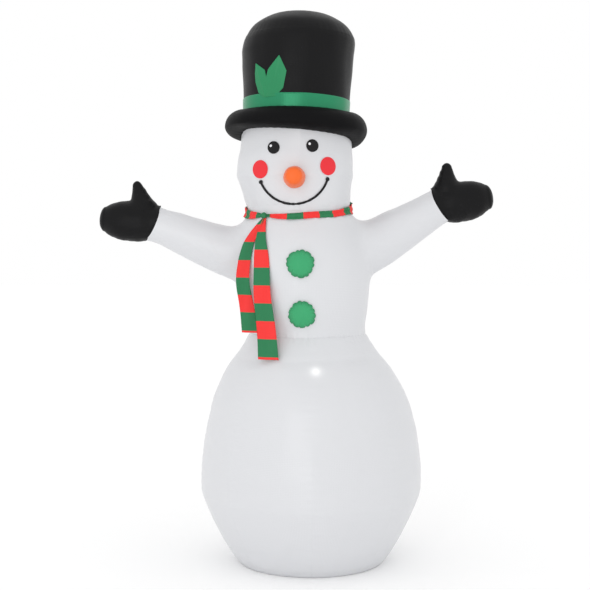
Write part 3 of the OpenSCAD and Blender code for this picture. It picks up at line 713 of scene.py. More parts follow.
def blower_duct():
    """The short cloth tube over the blower's duct, gathered under the clamp ring."""
    lo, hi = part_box("blower_sleeve")
    mid_x, _, mid_z = middle("blower_sleeve")
    t = turns(144)
    rows = []
    for s in np.linspace(0, 1, 18):
        pleats = np.sin(t * 34 + 1.5 * np.sin(t * 5)) * (0.0006 + 0.0013 * math.exp(-((s - 0.8) / 0.25) ** 2))
        r = BLOWER_R - 0.0022 + 0.0035 * math.sin(math.pi * s) + pleats
        y = lo.y + (hi.y - lo.y) * s + 0 * t
        rows.append(np.stack([mid_x + r * np.cos(t), y, mid_z + r * np.sin(t)], -1))
    obj = subdivide(sheet_object("blower_duct_cloth", np.array(rows), wrap=True))
    paint(obj, WHITE)
    return place_piece(obj, "root", ["blower_sleeve"], (0, 0), BELLY_R)


def base_panel():
    """The flat round panel that the lower body stands on."""
    a = turns(96)
    rings = []
    for share, z in ((0.2, 0.0012), (0.6, 0.0012), (0.9, 0.0012), (0.985, 0.0008), (1.0, 0.0012)):
        rings.append(round_point(a, belly_shape(0.0) * BELLY_R * share - 0.001, np.full_like(a, z)))
    obj = sheet_object("base_panel", np.array(rings), wrap=True, close=("bottom",))
    paint(obj, WHITE)
    return place_piece(obj, "root", ["base_disc"], (0, 0), BELLY_R)


base_panel()
blower_duct()


# ---- Torso and sleeves

# Each arm: its side, the direction from shoulder to cuff, its length, and its armhole's plane
CUFF = {}
for side, sign, degrees, length in (("left", -1, 20.7, 0.419), ("right", 1, 31.0, 0.386)):
    rise = math.radians(degrees)
    way = np.array([sign * math.cos(rise), 0, math.sin(rise)])
    CUFF[side] = dict(sign=sign, rise=rise, way=way, shoulder=SHOULDER[side], length=length)
CUFF["left"].update(armhole=(SHOULDER["left"] + [-0.009, 0, 0.012], math.radians(9)), bend=math.radians(3))
CUFF["right"].update(armhole=(SHOULDER["right"] + [0, 0, 0.016], math.radians(17)), bend=0.0)
SLEEVE_R = curve([(-0.1, 0.104), (0.0, 0.110), (0.05, 0.110), (0.12, 0.1055), (0.20, 0.0965), (0.30, 0.0865),
                  (0.40, 0.0785), (0.60, 0.0785)])


def arm_field(p, arm):
    """How far p lies outside the arm."""
    along = (p - arm["shoulder"]) @ arm["way"]
    held = np.clip(along, -0.06, arm["length"] + 0.06)
    foot = arm["shoulder"] + held[:, None] * arm["way"]
    around = np.linalg.norm(p - foot, axis=1)
    soft = DENTS(p) * 0.0010 + SWELL(p) * 0.0012
    return around - SLEEVE_R(held) - soft


def smooth_least(a, b, k):
    """The smaller of two distances, with a fillet of size k where they meet."""
    h = np.clip(0.5 + 0.5 * (b - a) / k, 0, 1)
    return b * (1 - h) + a * h - k * h * (1 - h)


def trunk_field(p):
    a = np.arctan2(p[:, 0] - lean(p[:, 2]), -p[:, 1])
    out = np.hypot(p[:, 0] - lean(p[:, 2]), p[:, 1])
    return out - trunk_r(a, p[:, 2])


def upper_field(p):
    """The torso with both arms, filleted: wide over the shoulders and tight at the armpits."""
    f = trunk_field(p)
    for arm in CUFF.values():
        k = np.interp(p[:, 2] - arm["shoulder"][2], [-0.08, 0.02, 0.10], [0.022, 0.05, 0.085])
        f = smooth_least(f, arm_field(p, arm), k)
    return f


def tube(name, path, radii, sides):
    """A closed tube along a straight or bent path of points."""
    path = np.asarray(path, float)
    rings = []
    for i, (c, r) in enumerate(zip(path, radii)):
        d = path[min(i + 1, len(path) - 1)] - path[max(i - 1, 0)]
        d /= np.linalg.norm(d)
        side = np.cross(d, [0.0, 1.0, 0.0])
        side /= np.linalg.norm(side)
        up = np.cross(side, d)
        t = turns(sides)
        rings.append(c + r * (np.cos(t)[:, None] * side + np.sin(t)[:, None] * up))
    return sheet_object(name, np.array(rings), wrap=True, close=("top", "bottom"))


def armhole_plane(arm):
    place, tilt = arm["armhole"]
    return place, np.array([arm["sign"] * math.cos(tilt), 0, math.sin(tilt)])


def cuff_plane(arm):
    """The cuff is cut on the slant: its front reaches a little back towards the shoulder."""
    turn = arm["rise"] + arm["bend"]
    slant = math.radians(19)
    flat = np.array([arm["sign"] * math.cos(turn), 0, math.sin(turn)])
    normal = flat * math.cos(slant) + np.array([0, -1, 0]) * math.sin(slant)
    return arm["shoulder"] + arm["way"] * arm["length"], normal


def upper_body():
    """Torso and sleeves as one skin, cut apart along the armholes."""
    z = np.linspace(WAIST_Z - 0.05, NECK_Z + 0.04, 60)
    trunk = tube("trunk", np.stack([lean(z), 0 * z, z], 1), trunk_radius(z), 96)
    arms = []
    for arm in CUFF.values():
        s = np.linspace(-0.05, arm["length"] + 0.05, 30)
        arms.append(tube("arm", arm["shoulder"] + s[:, None] * arm["way"], SLEEVE_R(s), 48))
    skin = remesh(join("upper_skin", [trunk, *arms]), 0.0085)
    newton(skin, upper_field)
    p = coords(skin)
    n = normals(skin)
    dip = np.zeros(len(p))
    for arm in CUFF.values():
        place, normal = armhole_plane(arm)
        by_arm = np.linalg.norm(p - arm["shoulder"], axis=1) < 0.26
        around = np.arctan2(p[:, 1], p[:, 2] - arm["shoulder"][2])
        d = (p - place) @ normal
        dip += 0.0022 * near(d, 0.005) * by_arm
        dip += np.sin(around * 34 + np.sin(around * 5)) * near(d, 0.028) * 0.0012 * by_arm
        c_place, c_normal = cuff_plane(arm)
        dc = (p - c_place) @ c_normal
        dip += np.sin(around * 22 + np.sin(around * 4)) * near(dc, 0.03) * 0.0014
    set_coords(skin, p - n * dip[:, None])
    cut(skin, (0, 0, WAIST_Z - 0.0045), (0, 0, -1))
    p = coords(skin)
    at_neck = near(np.maximum(p[:, 2] - NECK_Z + 0.03, 0) - 0.02, 0.02)
    held = np.maximum(near(p[:, 2] - WAIST_Z, 0.012), at_neck)
    for arm in CUFF.values():
        beyond = (p - cuff_plane(arm)[0]) @ cuff_plane(arm)[1]
        held = np.maximum(held, np.clip((beyond + 0.012) / 0.01, 0, 1))
    inflate(skin, 0.006, shrink=0.02, pinned=held)
    return skin


skin = upper_body()
for side, arm in CUFF.items():
    sleeve = duplicate(skin, f"sleeve_cloth_{side}")
    place, normal = armhole_plane(arm)
    cut(sleeve, place, -normal)
    cut(skin, place, normal)
    c_place, c_normal = cuff_plane(arm)
    cut(sleeve, c_place + c_normal * 0.004, c_normal)
    subdivide(sleeve)
    paint(sleeve, WHITE)
    place_piece(sleeve, None, [f"sleeve_{side}"], (0, 0.6), 1.0)
    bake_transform(sleeve)


def torso_panels(skin):
    """The torso's three panels, cut from the skin along the chest seam and the side seams."""
    cut(skin, (0, 0, NECK_Z - 0.004), (0, 0, 1))
    x = lean(NECK_Z - 0.2)
    seam_way = np.array([math.cos(CHEST_SEAM), math.sin(CHEST_SEAM), 0])
    back = (0, 1, 0)
    front = (0, -1, 0)
    for name, ways in zip(TORSO, ([seam_way, back], [-seam_way, back], [front])):
        piece = duplicate(skin, name.replace("torso", "chest") + "_cloth")
        for way in ways:
            cut(piece, (x, 0, 0), way)
        subdivide(piece)
        paint(piece, WHITE)
        place_piece(piece, "root", [name], (x, 0), TORSO_R)
    bpy.data.objects.remove(skin)


torso_panels(skin)


# ---- Head

HEAD_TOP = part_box("hat_brim")[0].z + 0.065


def head_panel(name, node, start, end, columns):
    seams = [0.0, 0.004, 0.014, 0.04]
    u = np.array(seams + list(np.linspace(0.09, 0.91, columns)) + [1 - c for c in reversed(seams)])
    rows = np.linspace(NECK_Z - 0.008, HEAD_TOP, 46)
    uu, z = np.meshgrid(u, rows)
    a = start + uu * (end - start)
    r = head_r(a, z)
    obj = subdivide(sheet_object(name, round_point(a, r, z)))
    paint(obj, WHITE)
    place_piece(obj, None, [node], (HEAD_X, 0), HEAD_R)
    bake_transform(obj)
    return obj


head_panel("face_cloth_left", "head_front_left", -math.pi / 2, FACE_SEAM, 20)
head_panel("face_cloth_right", "head_front_right", FACE_SEAM, math.pi / 2, 20)
head_panel("head_cloth_back", "head_back", math.pi / 2, 3 * math.pi / 2, 40)


def on_face(x, z, lift):
    """The point of the face at X and Z, raised off the cloth by lift."""
    x, z = np.asarray(x, float), np.asarray(z, float)
    a = np.zeros_like(x)
    for _ in range(12):
        r = head_r(a, z) + lift
        a = np.arcsin(np.clip((x - lean(z)) / r, -0.99, 0.99))
    return np.stack([x, -(head_r(a, z) + lift) * np.cos(a), z], -1)


FACE_ROLL = math.radians(2.4)
FACE_MID = np.array([lean(1.70) + HEAD_R * math.sin(FACE_TURN) + 0.005, 1.700])


def face_place(right, up):
    """X and Z of a place on the face, measured from its middle along its own tilt."""
    c, s = math.cos(FACE_ROLL), math.sin(FACE_ROLL)
    return FACE_MID[0] + right * c - up * s, FACE_MID[1] + right * s + up * c


def patch(name, outline, rings, node, material, lift=0.0022, dome=0.0006):
    """A sewn-on patch of the face: an outline round a middle, from the middle out to a turned edge."""
    outline = np.asarray(outline)
    mid = outline.mean(0)
    points = []
    for share in rings:
        q = mid + (outline - mid) * share
        rise = lift + dome * (1 - share ** 2)
        points.append(on_face(q[:, 0], q[:, 1], rise))
    points.append(on_face(outline[:, 0], outline[:, 1], -0.002))
    obj = sheet_object(name, np.array(points), wrap=True, close=("bottom",))
    paint(obj, material)
    place_piece(obj, "head", [node] if node else [])
    return obj


def oval(right, up, half_w, half_h, count=48):
    t = -turns(count)
    x, z = face_place(right + half_w * np.cos(t), up + half_h * np.sin(t))
    return np.stack([x, z], 1)


EYE_R = 0.0265
RINGS = [0.12, 0.4, 0.7, 0.9, 0.975, 1.0]
for side, right, up in (("left", -0.0805, 0.103), ("right", 0.0825, 0.103)):
    half = EYE_R * (0.955 if side == "left" else 0.97)
    patch(f"eye_{side}", oval(right, up, half, EYE_R), RINGS, "eyes", FACE_BLACK)
    patch(f"eye_glint_{side}", oval(right - 0.0115, up + 0.008, 0.0052, 0.0055, 20), [0.3, 0.8, 1.0], None,
          GLINT_WHITE, lift=0.0034)
for side, right, up, half in (("left", -0.1410, 0.0155, 0.0325), ("right", 0.1450, 0.0165, 0.0330)):
    patch(f"cheek_{side}", oval(right, up, half, 0.0385), RINGS, "cheeks", CHEEK_RED)


def smile():
    """A stitched black line along a round arc, with round ends."""
    radius = 0.150
    half = math.radians(70)
    width = 0.0105
    up = 0.013
    t = np.linspace(-half, half, 90)
    rows = []
    for across in np.linspace(-0.5, 0.5, 7):
        r = radius + across * width
        x, z = face_place(r * np.sin(t), up - r * np.cos(t))
        rows.append(on_face(x, z, 0.0040 - 0.0050 * (2 * across) ** 6))
    line = sheet_object("smile", np.array(rows))
    paint(line, FACE_BLACK)
    place_piece(line, "head", ["mouth"])
    for k, end in (("left", -half), ("right", half)):
        patch(f"smile_end_{k}", oval(radius * math.sin(end), up - radius * math.cos(end), 0.0085, 0.0085, 24),
              [0.3, 0.7, 0.95, 1.0], None, FACE_BLACK, lift=0.0030)


smile()


# Side view of the nose, as shares of its length and of its radius
NOSE_SIDE = [(-0.16, 1.02), (0.0, 1.04), (0.08, 1.03), (0.2, 1.01), (0.4, 0.97), (0.6, 0.91), (0.75, 0.85),
             (0.87, 0.76), (0.94, 0.64), (0.98, 0.48), (1.0, 0.26), (1.003, 0.1)]


def nose():
    """A stubby cone of orange cloth in six gores, blunt at the end."""
    radius = 0.0445
    length = 0.112
    mid = face_place(0.0015, -0.026)
    root = on_face(np.array([mid[0]]), np.array([mid[1]]), 0.0)[0]
    out = Vector((math.sin(FACE_TURN) * 0.6, -1, 0.02)).normalized()
    side = Vector((1, 0, 0))
    side = (side - out * side.dot(out)).normalized()
    up = out.cross(side) * -1
    t = turns(72)
    u = gore_share(t, 6, 0.3)
    rows = []
    for s, r in NOSE_SIDE:
        ring_r = radius * r * (1 + 0.022 * (np.sin(math.pi * u) - 0.64))
        ring_r = ring_r + 0.0010 * np.sin(t * 21 + 1.3 * np.sin(t * 3)) * near(np.array(s - 0.02), 0.12)
        centre = np.array(root) + np.array(out) * (s * length)
        ways = np.cos(t)[:, None] * np.array(side) + np.sin(t)[:, None] * np.array(up)
        rows.append(centre + ring_r[:, None] * ways)
    obj = subdivide(sheet_object("nose_cone", np.array(rows), wrap=True, close=("top",)))
    paint(obj, NOSE_ORANGE)
    place_piece(obj, "head", ["nose"])


nose()


# ---- Hat

brim_lo, brim_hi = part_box("hat_brim")
crown_lo, crown_hi = span("hat_crown_wall", "hat_crown_top")
HAT_X = (brim_lo[0] + brim_hi[0]) / 2
BRIM_R = (brim_hi[0] - brim_lo[0]) / 2
BRIM_Z = crown_hi[2] - 0.506
BRIM_OVER = 0.081
BRIM_UNDER = 0.060
CROWN_R = (crown_hi[0] - crown_lo[0]) / 2
HAT_FRAME = (
    Matrix.Translation((HAT_X, 0, BRIM_Z)) @ Matrix.Rotation(math.radians(1.5), 4, "Y")
    @ Matrix.Rotation(math.radians(-2.5), 4, "X"))


def in_hat(points):
    m = np.array(HAT_FRAME)
    return points @ m[:3, :3].T + m[:3, 3]


def hat_round(rows, ridge=0.0065, soft=0.0012, wobble=None):
    """Rows of radius and height turned about the hat's axis, with ridges along its seams."""
    a = turns(128)
    points = []
    for r, z in rows:
        rr = np.full_like(a, r)
        for s in (0.20, math.pi):
            rr = rr + cusp(a, s, 0.22, ridge) * min(1.0, r / 0.2)
        zz = np.full_like(a, z)
        if wobble is not None:
            dr, dz = wobble(a, r, z)
            rr = rr + dr
            zz = zz + dz
        p = polar(a, rr, zz)
        out = polar(a, 1.0, 0.0)
        p = p + out * ((DENTS(p + 3.0) * 0.6 + SWELL(p + 1.0)) * soft)[:, None]
        p[:, 0] += 0.011 * np.clip((p[:, 2] - 0.33) / 0.07, 0, 1)
        points.append(in_hat(p))
    return np.array(points)


def arc_points(r0, rz, start, end, count):
    """Radius and height along an arc of the brim, from radius r0 out to its edge."""
    t = np.radians(np.linspace(start, end, count))
    return [(r0 + (BRIM_R - r0) * math.cos(k), rz * math.sin(k)) for k in t]


def brim_wobble(a, r, z):
    """The brim is thinner at the front than at the sides and the back, and its seams are gathered."""
    outer = np.clip((r - 0.23) / (BRIM_R - 0.23), 0, 1)
    front = np.clip((np.cos(a) + 0.3) / 0.9, 0, 1)
    front = front * front * (3 - 2 * front)
    above = 0.087 - 0.019 * front
    below = 0.060 - 0.031 * front + 0.013 * np.sin(a)
    share = above / BRIM_OVER if z > 0 else below / BRIM_UNDER
    gather = np.sin(a * 52 + 1.6 * np.sin(a * 7)) * 0.0022
    at_seam = near(1 - outer, 0.35) * 0.15 + near(outer, 0.35)
    return gather * at_seam * 0.3, z * (share - 1) + gather * at_seam * 0.6


def hat_piece(name, rows, node, material, slot, close=(), **shape):
    obj = subdivide(sheet_object(name, hat_round(rows, **shape), wrap=True, close=close))
    paint(obj, material)
    return place_piece(obj, "head", [node], (HAT_X, 0), CROWN_R)


under = arc_points(0.238, BRIM_UNDER, -90, -4, 14)
over = arc_points(0.231, BRIM_OVER, 4, 90, 18)
brim_rows = [(0.225, -0.046), (0.232, -0.056)] + under + [(BRIM_R, 0.0)] + over + [(0.226, 0.079)]
hat_piece("brim_cloth", brim_rows, "hat_brim", BRIM_BLACK_SHADED, "black_cloth", ridge=0.002, wobble=brim_wobble)

crown_wall = curve([(0.056, 0.2265), (0.066, 0.2305), (0.14, 0.2335), (0.24, 0.2405),
                    (0.339, CROWN_R - 0.001), (0.375, 0.2435), (0.395, 0.2375)])


def wall_wobble(a, r, z):
    gather = np.sin(a * 60 + 1.4 * np.sin(a * 9))
    return gather * (near(z - 0.394, 0.014) * 0.0008 + near(z - 0.08, 0.02) * 0.0008), 0 * a


wall_rows = [(crown_wall(z), z) for z in np.linspace(0.056, 0.395, 42)]
hat_piece("crown_cloth", wall_rows, "hat_crown_wall", BLACK, "black_cloth", wobble=wall_wobble)

crown_dome = curve([(0.0, 0.5065), (0.05, 0.5055), (0.112, 0.4965), (0.167, 0.4715), (0.205, 0.4445),
                    (0.224, 0.4185), (0.2335, 0.401), (0.2365, 0.3955)])


def top_wobble(a, r, z):
    gather = np.sin(a * 60 + 1.4 * np.sin(a * 9)) * near(r - 0.2365, 0.018) * 0.0010
    return gather * 0.4, gather


top_radii = [0.2365, 0.2335, 0.229, 0.224, 0.217, 0.209, 0.199, 0.186, 0.170, 0.150, 0.125, 0.095, 0.062,
             0.03, 0.01]
top_rows = [(r, crown_dome(r)) for r in top_radii]
hat_piece("crown_top_cloth", top_rows, "hat_crown_top", BLACK, "black_cloth", close=("top",), ridge=0.0,
          wobble=top_wobble)

band_lifts = [(0.0600, -0.001), (0.0615, 0.0022)] + [(z, 0.0026) for z in np.linspace(0.065, 0.1205, 13)]
band_lifts += [(0.1240, 0.0022), (0.1255, -0.001)]
band_rows = [(crown_wall(z) + lift, z) for z, lift in band_lifts]
band = hat_piece("band_satin", band_rows, "hat_band", BAND_GREEN, "green_cloth", soft=0.0010)


def leaf(name, outline, stem, tip):
    """A flat felt-like leaf on the front of the crown, with a raised vein from stem to tip."""
    outline = np.array(outline)
    fine = []
    for p, q in zip(outline, np.roll(outline, -1, 0)):
        steps = max(2, int(np.linalg.norm(q - p) / 0.006))
        fine += [p + (q - p) * k / steps for k in range(steps)]
    fine = np.array(fine)
    mid = fine.mean(0)
    rows = []
    along = np.subtract(tip, stem) / np.linalg.norm(np.subtract(tip, stem))
    for share in (0.0, 0.2, 0.45, 0.7, 0.88, 0.97, 1.0, 1.0):
        q = mid + (fine - mid) * max(share, 0.02)
        lift = 0.0036 if len(rows) < 7 else -0.0005
        off = np.abs((q - stem) @ np.array([along[1], -along[0]]))
        z = q[:, 1] + LEAF_FOOT
        r = np.maximum(crown_wall(z), crown_wall(0.13)) + lift + 0.0016 * near(off, 0.006)
        a = math.radians(-33) + q[:, 0] / 0.243
        rows.append(in_hat(polar(a, r, z)))
    obj = sheet_object(name, np.array(rows), wrap=True, close=("bottom",))
    paint(obj, LEAF_GREEN)
    place_piece(obj, "head", ["holly_leaves"], (HAT_X, 0), CROWN_R)


LEAF_FOOT = 0.107
leaf("leaf_left", [(-0.012, 0), (-0.044, 0.022), (-0.061, 0.067), (-0.063, 0.105), (-0.056, 0.146),
                   (-0.008, 0.115), (0.000, 0.084), (0.006, 0.037), (0.006, 0)],
     (-0.004, 0), (-0.056, 0.146))
leaf("leaf_right", [(0.004, 0), (0.002, 0.042), (-0.001, 0.080), (0.010, 0.115), (0.062, 0.172),
                    (0.094, 0.107), (0.080, 0.036), (0.046, 0.002)],
     (0.012, 0), (0.062, 0.172))


# ---- Mittens

PALM_R = curve([(-0.04, 0.0785), (0.0, 0.0790), (0.02, 0.0815), (0.05, 0.0860), (0.09, 0.0885),
                (0.13, 0.0860), (0.17, 0.0760), (0.20, 0.0600), (0.222, 0.0400), (0.232, 0.0200)])
PALM_END = 0.205
HANDS = {
    "left": dict(base=(-0.7356, 0, 1.556), tip=(-0.7605, 0, 1.649), level=5.0, dent=(-0.95, 0, 1.47)),
    "right": dict(base=(0.5935, 0, 1.644), tip=(0.5935, 0, 1.728), level=10.0, dent=(0.762, 0, 1.538)),
}


def mitten(side):
    """A stuffed-looking mitten: an oval palm and a thumb that stands up, with a seam round its edge."""
    arm, hand = CUFF[side], HANDS[side]
    start, normal = cuff_plane(arm)
    level = math.radians(hand["level"])
    way = np.array([arm["sign"] * math.cos(level), 0, math.sin(level)])
    up = np.array([-arm["sign"] * math.sin(level), 0, math.cos(level)])
    base = np.array(hand["base"])
    tip = np.array(hand["tip"])
    thumb_len = np.linalg.norm(tip - base)
    thumb_way = (tip - base) / thumb_len

    def palm_field(p):
        q = p - start
        along = q @ way
        r = PALM_R(np.clip(along, -0.04, PALM_END))
        slope = np.hypot(q @ up, q[:, 1] * 1.12)
        over = np.maximum(along - PALM_END, 0)
        return np.where(along > PALM_END, np.hypot(slope, over * 2.1) - 0.056, slope - r)

    def thumb_field(p):
        q = p - base
        along = np.clip(q @ thumb_way, 0, thumb_len)
        r = 0.058 - (0.058 - 0.0215) * along / thumb_len
        return np.linalg.norm(q - along[:, None] * thumb_way, axis=1) - r

    def field(p):
        f = smooth_least(palm_field(p), thumb_field(p), 0.014)
        edge = near(p[:, 1], 0.004) * 0.0012
        along = (p - start) @ way
        ripple = np.sin(p @ (way * 210 + up * 150)) * near(p[:, 1], 0.022) * 0.0005
        fold = 0.009 * near(np.linalg.norm(p - np.array(hand["dent"]), axis=1), 0.014)
        cuff = near(along - 0.02, 0.02) * 0.0008 * np.sin(p[:, 2] * 240)
        return f + edge + fold - ripple - DENTS(p * 1.4) * 0.0011 - cuff

    s = np.linspace(-0.03, 0.226, 24)
    palm = tube("palm", start + s[:, None] * way, np.maximum(PALM_R(s) * 0.97, 0.02), 40)
    s = np.linspace(-0.02, thumb_len + 0.018, 14)
    thumb_r = np.interp(s, [0, thumb_len, thumb_len + 0.02], [0.055, 0.021, 0.007])
    thumb = tube("thumb", base + s[:, None] * thumb_way, thumb_r, 28)
    obj = remesh(join(f"mitten_cloth_{side}", [palm, thumb]), 0.0055)
    newton(obj, field)
    cut(obj, start - normal * 0.0035, -normal)
    p = coords(obj)
    d = (p - start) @ normal
    set_coords(obj, p - normals(obj) * (0.0016 * near(d, 0.004))[:, None])
    subdivide(obj)
    paint(obj, BLACK)
    centre = (start[0] + arm["sign"] * 0.1, 0)
    place_piece(obj, f"arm_{side}", [f"mitten_{side}"], centre, 0.09)


for side in HANDS:
    mitten(side)


# ---- Buttons


# Side view of a button, as shares of its radius and heights above the cloth
PUFF = [(0.02, 0.027), (0.15, 0.0268), (0.3, 0.0258), (0.45, 0.0238), (0.6, 0.0205), (0.72, 0.0168),
        (0.82, 0.0128), (0.9, 0.009), (0.96, 0.0058), (1.0, 0.0028), (0.985, 0.0), (0.93, -0.004)]


def button(name, node, seed, radius):
    """A gathered puff: full in the middle, pleated towards a scalloped edge."""
    mid_x, _, mid_z = middle(node)
    rng = np.random.RandomState(seed)
    t = turns(180)
    count = 13
    centres = np.sort((np.arange(count) + rng.uniform(-0.22, 0.22, count)) * 2 * math.pi / count)
    gap = np.min(np.abs((t[:, None] - centres[None] + math.pi) % (2 * math.pi) - math.pi), 1)
    notch = np.exp(-((gap / 0.085) ** 2))
    sizes = 1 + 0.022 * np.sin(3 * t + rng.uniform(0, 6)) + 0.014 * np.sin(5 * t + rng.uniform(0, 6))
    pleat = np.sin(count * 3 * t + 2 * np.sin(2 * t))
    rows = []
    for share, lift in PUFF:
        edge = np.clip((share - 0.55) / 0.45, 0, 1) ** 1.5
        r = radius * share * sizes * (1 - 0.075 * notch * edge) * (1 + 0.008 * pleat * edge)
        x = mid_x + r * np.sin(t)
        z = mid_z + r * np.cos(t)
        height = lift * (1 - 0.4 * notch * edge) + 0.0016 * pleat * edge
        a = np.arcsin(np.clip((x - lean(z)) / (trunk_radius(z) + 0.005), -0.99, 0.99))
        y = -np.sqrt(np.maximum(trunk_r(a, z) ** 2 - (x - lean(z)) ** 2, 0.01)) - height
        rows.append(np.stack([x, y, z], -1))
    obj = subdivide(sheet_object(name, np.array(rows), wrap=True, close=("bottom",)))
    paint(obj, GREEN_WITH_RIM_SHADE)
    place_piece(obj, "root", [node], (TORSO_X, 0), TORSO_R)


button("button_puff_upper", "button_upper", 11, 0.060)
button("button_puff_lower", "button_lower", 23, 0.0585)


# ---- Scarf

STRIPE = 0.0748
HEM = 0.009
KNOT = middle("scarf_knot")


def tail(name, node, body, drops):
    """A hanging striped strip. drops lists, from the top: share of the length, azimuth in degrees, distance
    from the torso's axis, width, and twist. Stripes are sewn edge to edge, red and green in turn."""
    z_top = KNOT[2] - 0.010
    z_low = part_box(node)[0].z + 0.008
    d = np.array(drops)
    s = np.linspace(0, 1, 120)
    azimuth, reach, width, twist = (curve(d[:, (0, k)])(s) for k in range(1, 5))
    azimuth = np.radians(azimuth)
    twist = np.radians(twist)
    z = z_top + (z_low - z_top) * s
    centre = polar(azimuth, reach, z) + [TORSO_X, 0, 0]
    across = np.linspace(-0.5, 0.5, 15)
    points = []
    for c, az, w, tw, k in zip(centre, azimuth, width, twist, s):
        out = np.array([math.sin(az), -math.cos(az), 0])
        side = np.array([math.cos(az), math.sin(az), 0])
        side, out = side * math.cos(tw) + out * math.sin(tw), out * math.cos(tw) - side * math.sin(tw)
        sway = 0.0035 * np.sin(across * 7 + k * 9) + 0.003 * math.sin(k * 14)
        cup = 0.10 * w * (4 * across ** 2 - 0.5) * max(0.0, 1 - 3 * k)
        points.append(c + side * (across * w)[:, None] + out * (sway + cup)[:, None])
    obj = sheet_object(name, np.array(points))
    paint(obj, SCARF_RED, SCARF_GREEN)
    above_hem = np.array([p.center.z for p in obj.data.polygons]) - z_low - HEM
    index = np.where(above_hem < 0, 0, (above_hem / STRIPE + 1).astype(int) % 2)
    obj.data.polygons.foreach_set("material_index", index)
    thicken(obj, 0.0016)
    place_piece(obj, body, [node], (TORSO_X, 0), TORSO_R)


tail("scarf_front_tail", "scarf_tail_front", "tail_front",
     [(0.0, -41.0, 0.250, 0.012, 0), (0.04, -41.2, 0.258, 0.024, -8), (0.09, -40.8, 0.270, 0.036, -12),
      (0.18, -38.4, 0.292, 0.052, -14), (0.28, -36.4, 0.303, 0.068, -14), (0.40, -35.2, 0.308, 0.074, -12),
      (0.55, -33.6, 0.311, 0.076, -14), (0.72, -31.4, 0.313, 0.082, -12), (0.86, -29.4, 0.317, 0.087, -9),
      (1.0, -27.2, 0.323, 0.093, -6)])
tail("scarf_back_tail", "scarf_tail_back", "tail_back",
     [(0.0, -43.0, 0.246, 0.012, 0), (0.05, -46.0, 0.258, 0.028, 0), (0.12, -49.6, 0.272, 0.044, -12),
      (0.24, -53.6, 0.296, 0.056, -22), (0.38, -55.2, 0.309, 0.062, -26), (0.55, -54.6, 0.314, 0.066, -26),
      (0.75, -51.6, 0.313, 0.070, -24), (1.0, -47.6, 0.309, 0.076, -20)])


def wrap_point(a, up, out):
    """Points of the scarf round the neck, on its tilted ring."""
    pitch = Matrix.Rotation(math.radians(6.3), 3, "X")
    roll = Matrix.Rotation(math.radians(-2.0), 3, "Y")
    m = np.array(roll @ pitch)
    z = polar(a, 0.226, up) @ m[2] + NECK_Z
    r = np.maximum(trunk_r(a, z), head_r(a, z)) + 0.003 + out
    return polar(a, r, up) @ m.T + np.array([lean(NECK_Z), 0, NECK_Z])


# Azimuths of the sewn lines between the stripes round the neck, from the knot round to the knot
front_edges = [-31.5, -12.5, 3.5, 20.5, 37.0, 54.5, 70.0]
back_edges = list(np.arange(90.0, 290.0, 19.5))
STRIPE_EDGES = np.radians(front_edges + back_edges + [296.0, 309.0])


def scarf_wrap():
    """The striped strip round the neck, narrow at the knot and wider round the sides."""
    knot_a = math.radians(-38.5)
    s = np.linspace(0, 1, 260)
    a = knot_a + 0.02 + s * (2 * math.pi - 0.04)
    width = curve([(0.0, 0.010), (0.025, 0.016), (0.08, 0.024), (0.2, 0.027), (0.33, 0.034), (0.36, 0.048),
                   (0.45, 0.050), (0.8, 0.050), (0.88, 0.036), (0.95, 0.030), (0.985, 0.018),
                   (1.0, 0.010)])(s)
    across = np.linspace(-0.5, 0.5, 9)
    rows = []
    for k in across:
        crease = 0.0022 * np.sin(k * 9 + a * 5) + 0.0016 * np.sin(a * 23 + k * 3)
        rows.append(wrap_point(a, k * width + 0.0015 * np.sin(a * 7), 0.0055 + crease))
    obj = sheet_object("scarf_neck_cloth", np.array(rows))
    paint(obj, SCARF_RED, SCARF_GREEN)
    stripe = np.searchsorted(STRIPE_EDGES, (a[:-1] + a[1:]) / 2)
    index = np.tile(stripe % 2 == 0, len(across) - 1).astype(int)
    obj.data.polygons.foreach_set("material_index", index)
    thicken(obj, 0.0016)
    place_piece(obj, "root", ["scarf_wrap"])


scarf_wrap()


def knot():
    """A small tight knot: a squashed ball of folded cloth with a band over it."""
    t = turns(48)
    rows = []
    for lat in np.linspace(-78, 78, 15):
        q = math.radians(lat)
        r = 0.0120 * math.cos(q) * (1 + 0.09 * np.sin(5 * t + 3 * q) + 0.05 * np.sin(9 * t - 2))
        rows.append(KNOT + polar(t, r, 0.0135 * math.sin(q)))
    obj = subdivide(sheet_object("scarf_knot_cloth", np.array(rows), wrap=True, close=("top", "bottom")))
    paint(obj, SCARF_GREEN)
    place_piece(obj, "root", ["scarf_knot"])


knot()
neck_rows = [round_point(turns(96), 0.2235, z) for z in np.linspace(NECK_Z - 0.03, NECK_Z + 0.02, 6)]
neck_band = sheet_object("neck_cloth", np.array(neck_rows), wrap=True)
paint(neck_band, WHITE)
place_piece(neck_band, "root", ["neck_collar"])


# ---- CAD pieces that stay: their materials

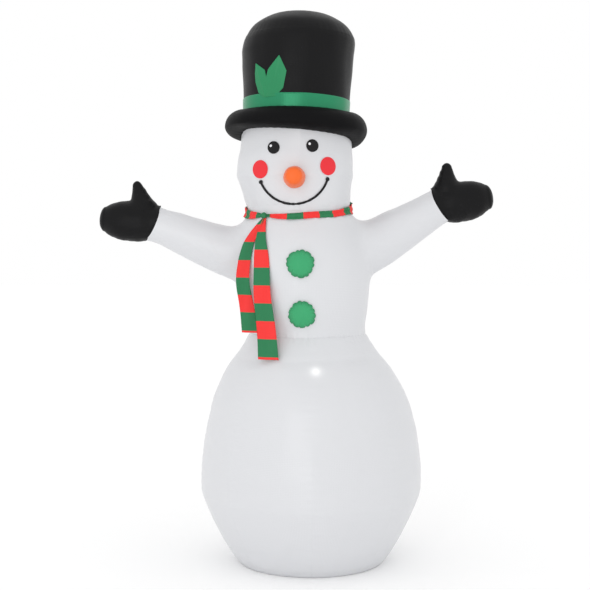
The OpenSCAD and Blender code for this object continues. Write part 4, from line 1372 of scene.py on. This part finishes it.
STAY = (
    (HOUSING, "clamp_ring intake_grille fan_housing motor_mount power_inlet"),
    (STEEL, "clamp_screws motor_bearings motor_shaft"),
    (COPPER, "motor_stator"),
    (ROTOR, "impeller"),
    (MAGNET, "rotor_magnet"),
    (RUBBER, "light_lead"),
    (SOCKET, "lamp_sockets"),
    (lens_material(), "lamp_lenses"),
    (WEBBING, "light_ties anchor_straps tether_tabs"),
    (ZIP_TAPE, "zip_tapes"),
    (ZIP_TEETH, "zip_chain"),
    (ZIP_METAL, "zip_slider zip_pull tether_ring_left tether_ring_right"),
    (BRASS, "anchor_grommets"),
)
for material, names in STAY:
    for name in names.split():
        node = frame["nodes"][name]
        for material_slot in node.material_slots:
            material_slot.material = material
        if not node.material_slots:
            node.data.materials.append(material)


# ---- Floor and lights


def floor():
    n = Nodes("floor")
    n.set(
        Base_Color=(0.97, 0.97, 0.97, 1.0),
        Roughness=0.9,
        Specular_IOR_Level=0.1,
        Emission_Color=(1.0, 1.0, 1.0, 1.0),
        Emission_Strength=0.05,
    )
    size = 30.0
    corners = [(-size, -size, -0.001), (size, -size, -0.001), (size, size, -0.001), (-size, size, -0.001)]
    obj = new_object("floor", corners, [(0, 1, 2, 3)], smooth=False)
    obj.data.materials.append(n.material)


def area_light(name, place, aim, size, energy):
    data = bpy.data.lights.new(name, "AREA")
    data.shape = "RECTANGLE"
    data.size = size[0]
    data.size_y = size[1]
    data.energy = energy
    obj = bpy.data.objects.new(name, data)
    bpy.context.scene.collection.objects.link(obj)
    obj.location = place
    obj.rotation_mode = "QUATERNION"
    obj.rotation_quaternion = (Vector(aim) - Vector(place)).to_track_quat("-Z", "Y")


floor()
world = bpy.data.worlds.new("studio")
world.use_nodes = True
world.node_tree.nodes["Background"].inputs["Color"].default_value = (1.0, 1.0, 1.0, 1.0)
world.node_tree.nodes["Background"].inputs["Strength"].default_value = 1.0
bpy.context.scene.world = world
area_light("strip", (-1.45, -5.3, 1.7), (-0.05, 0, 1.25), (0.5, 3.4), 34)
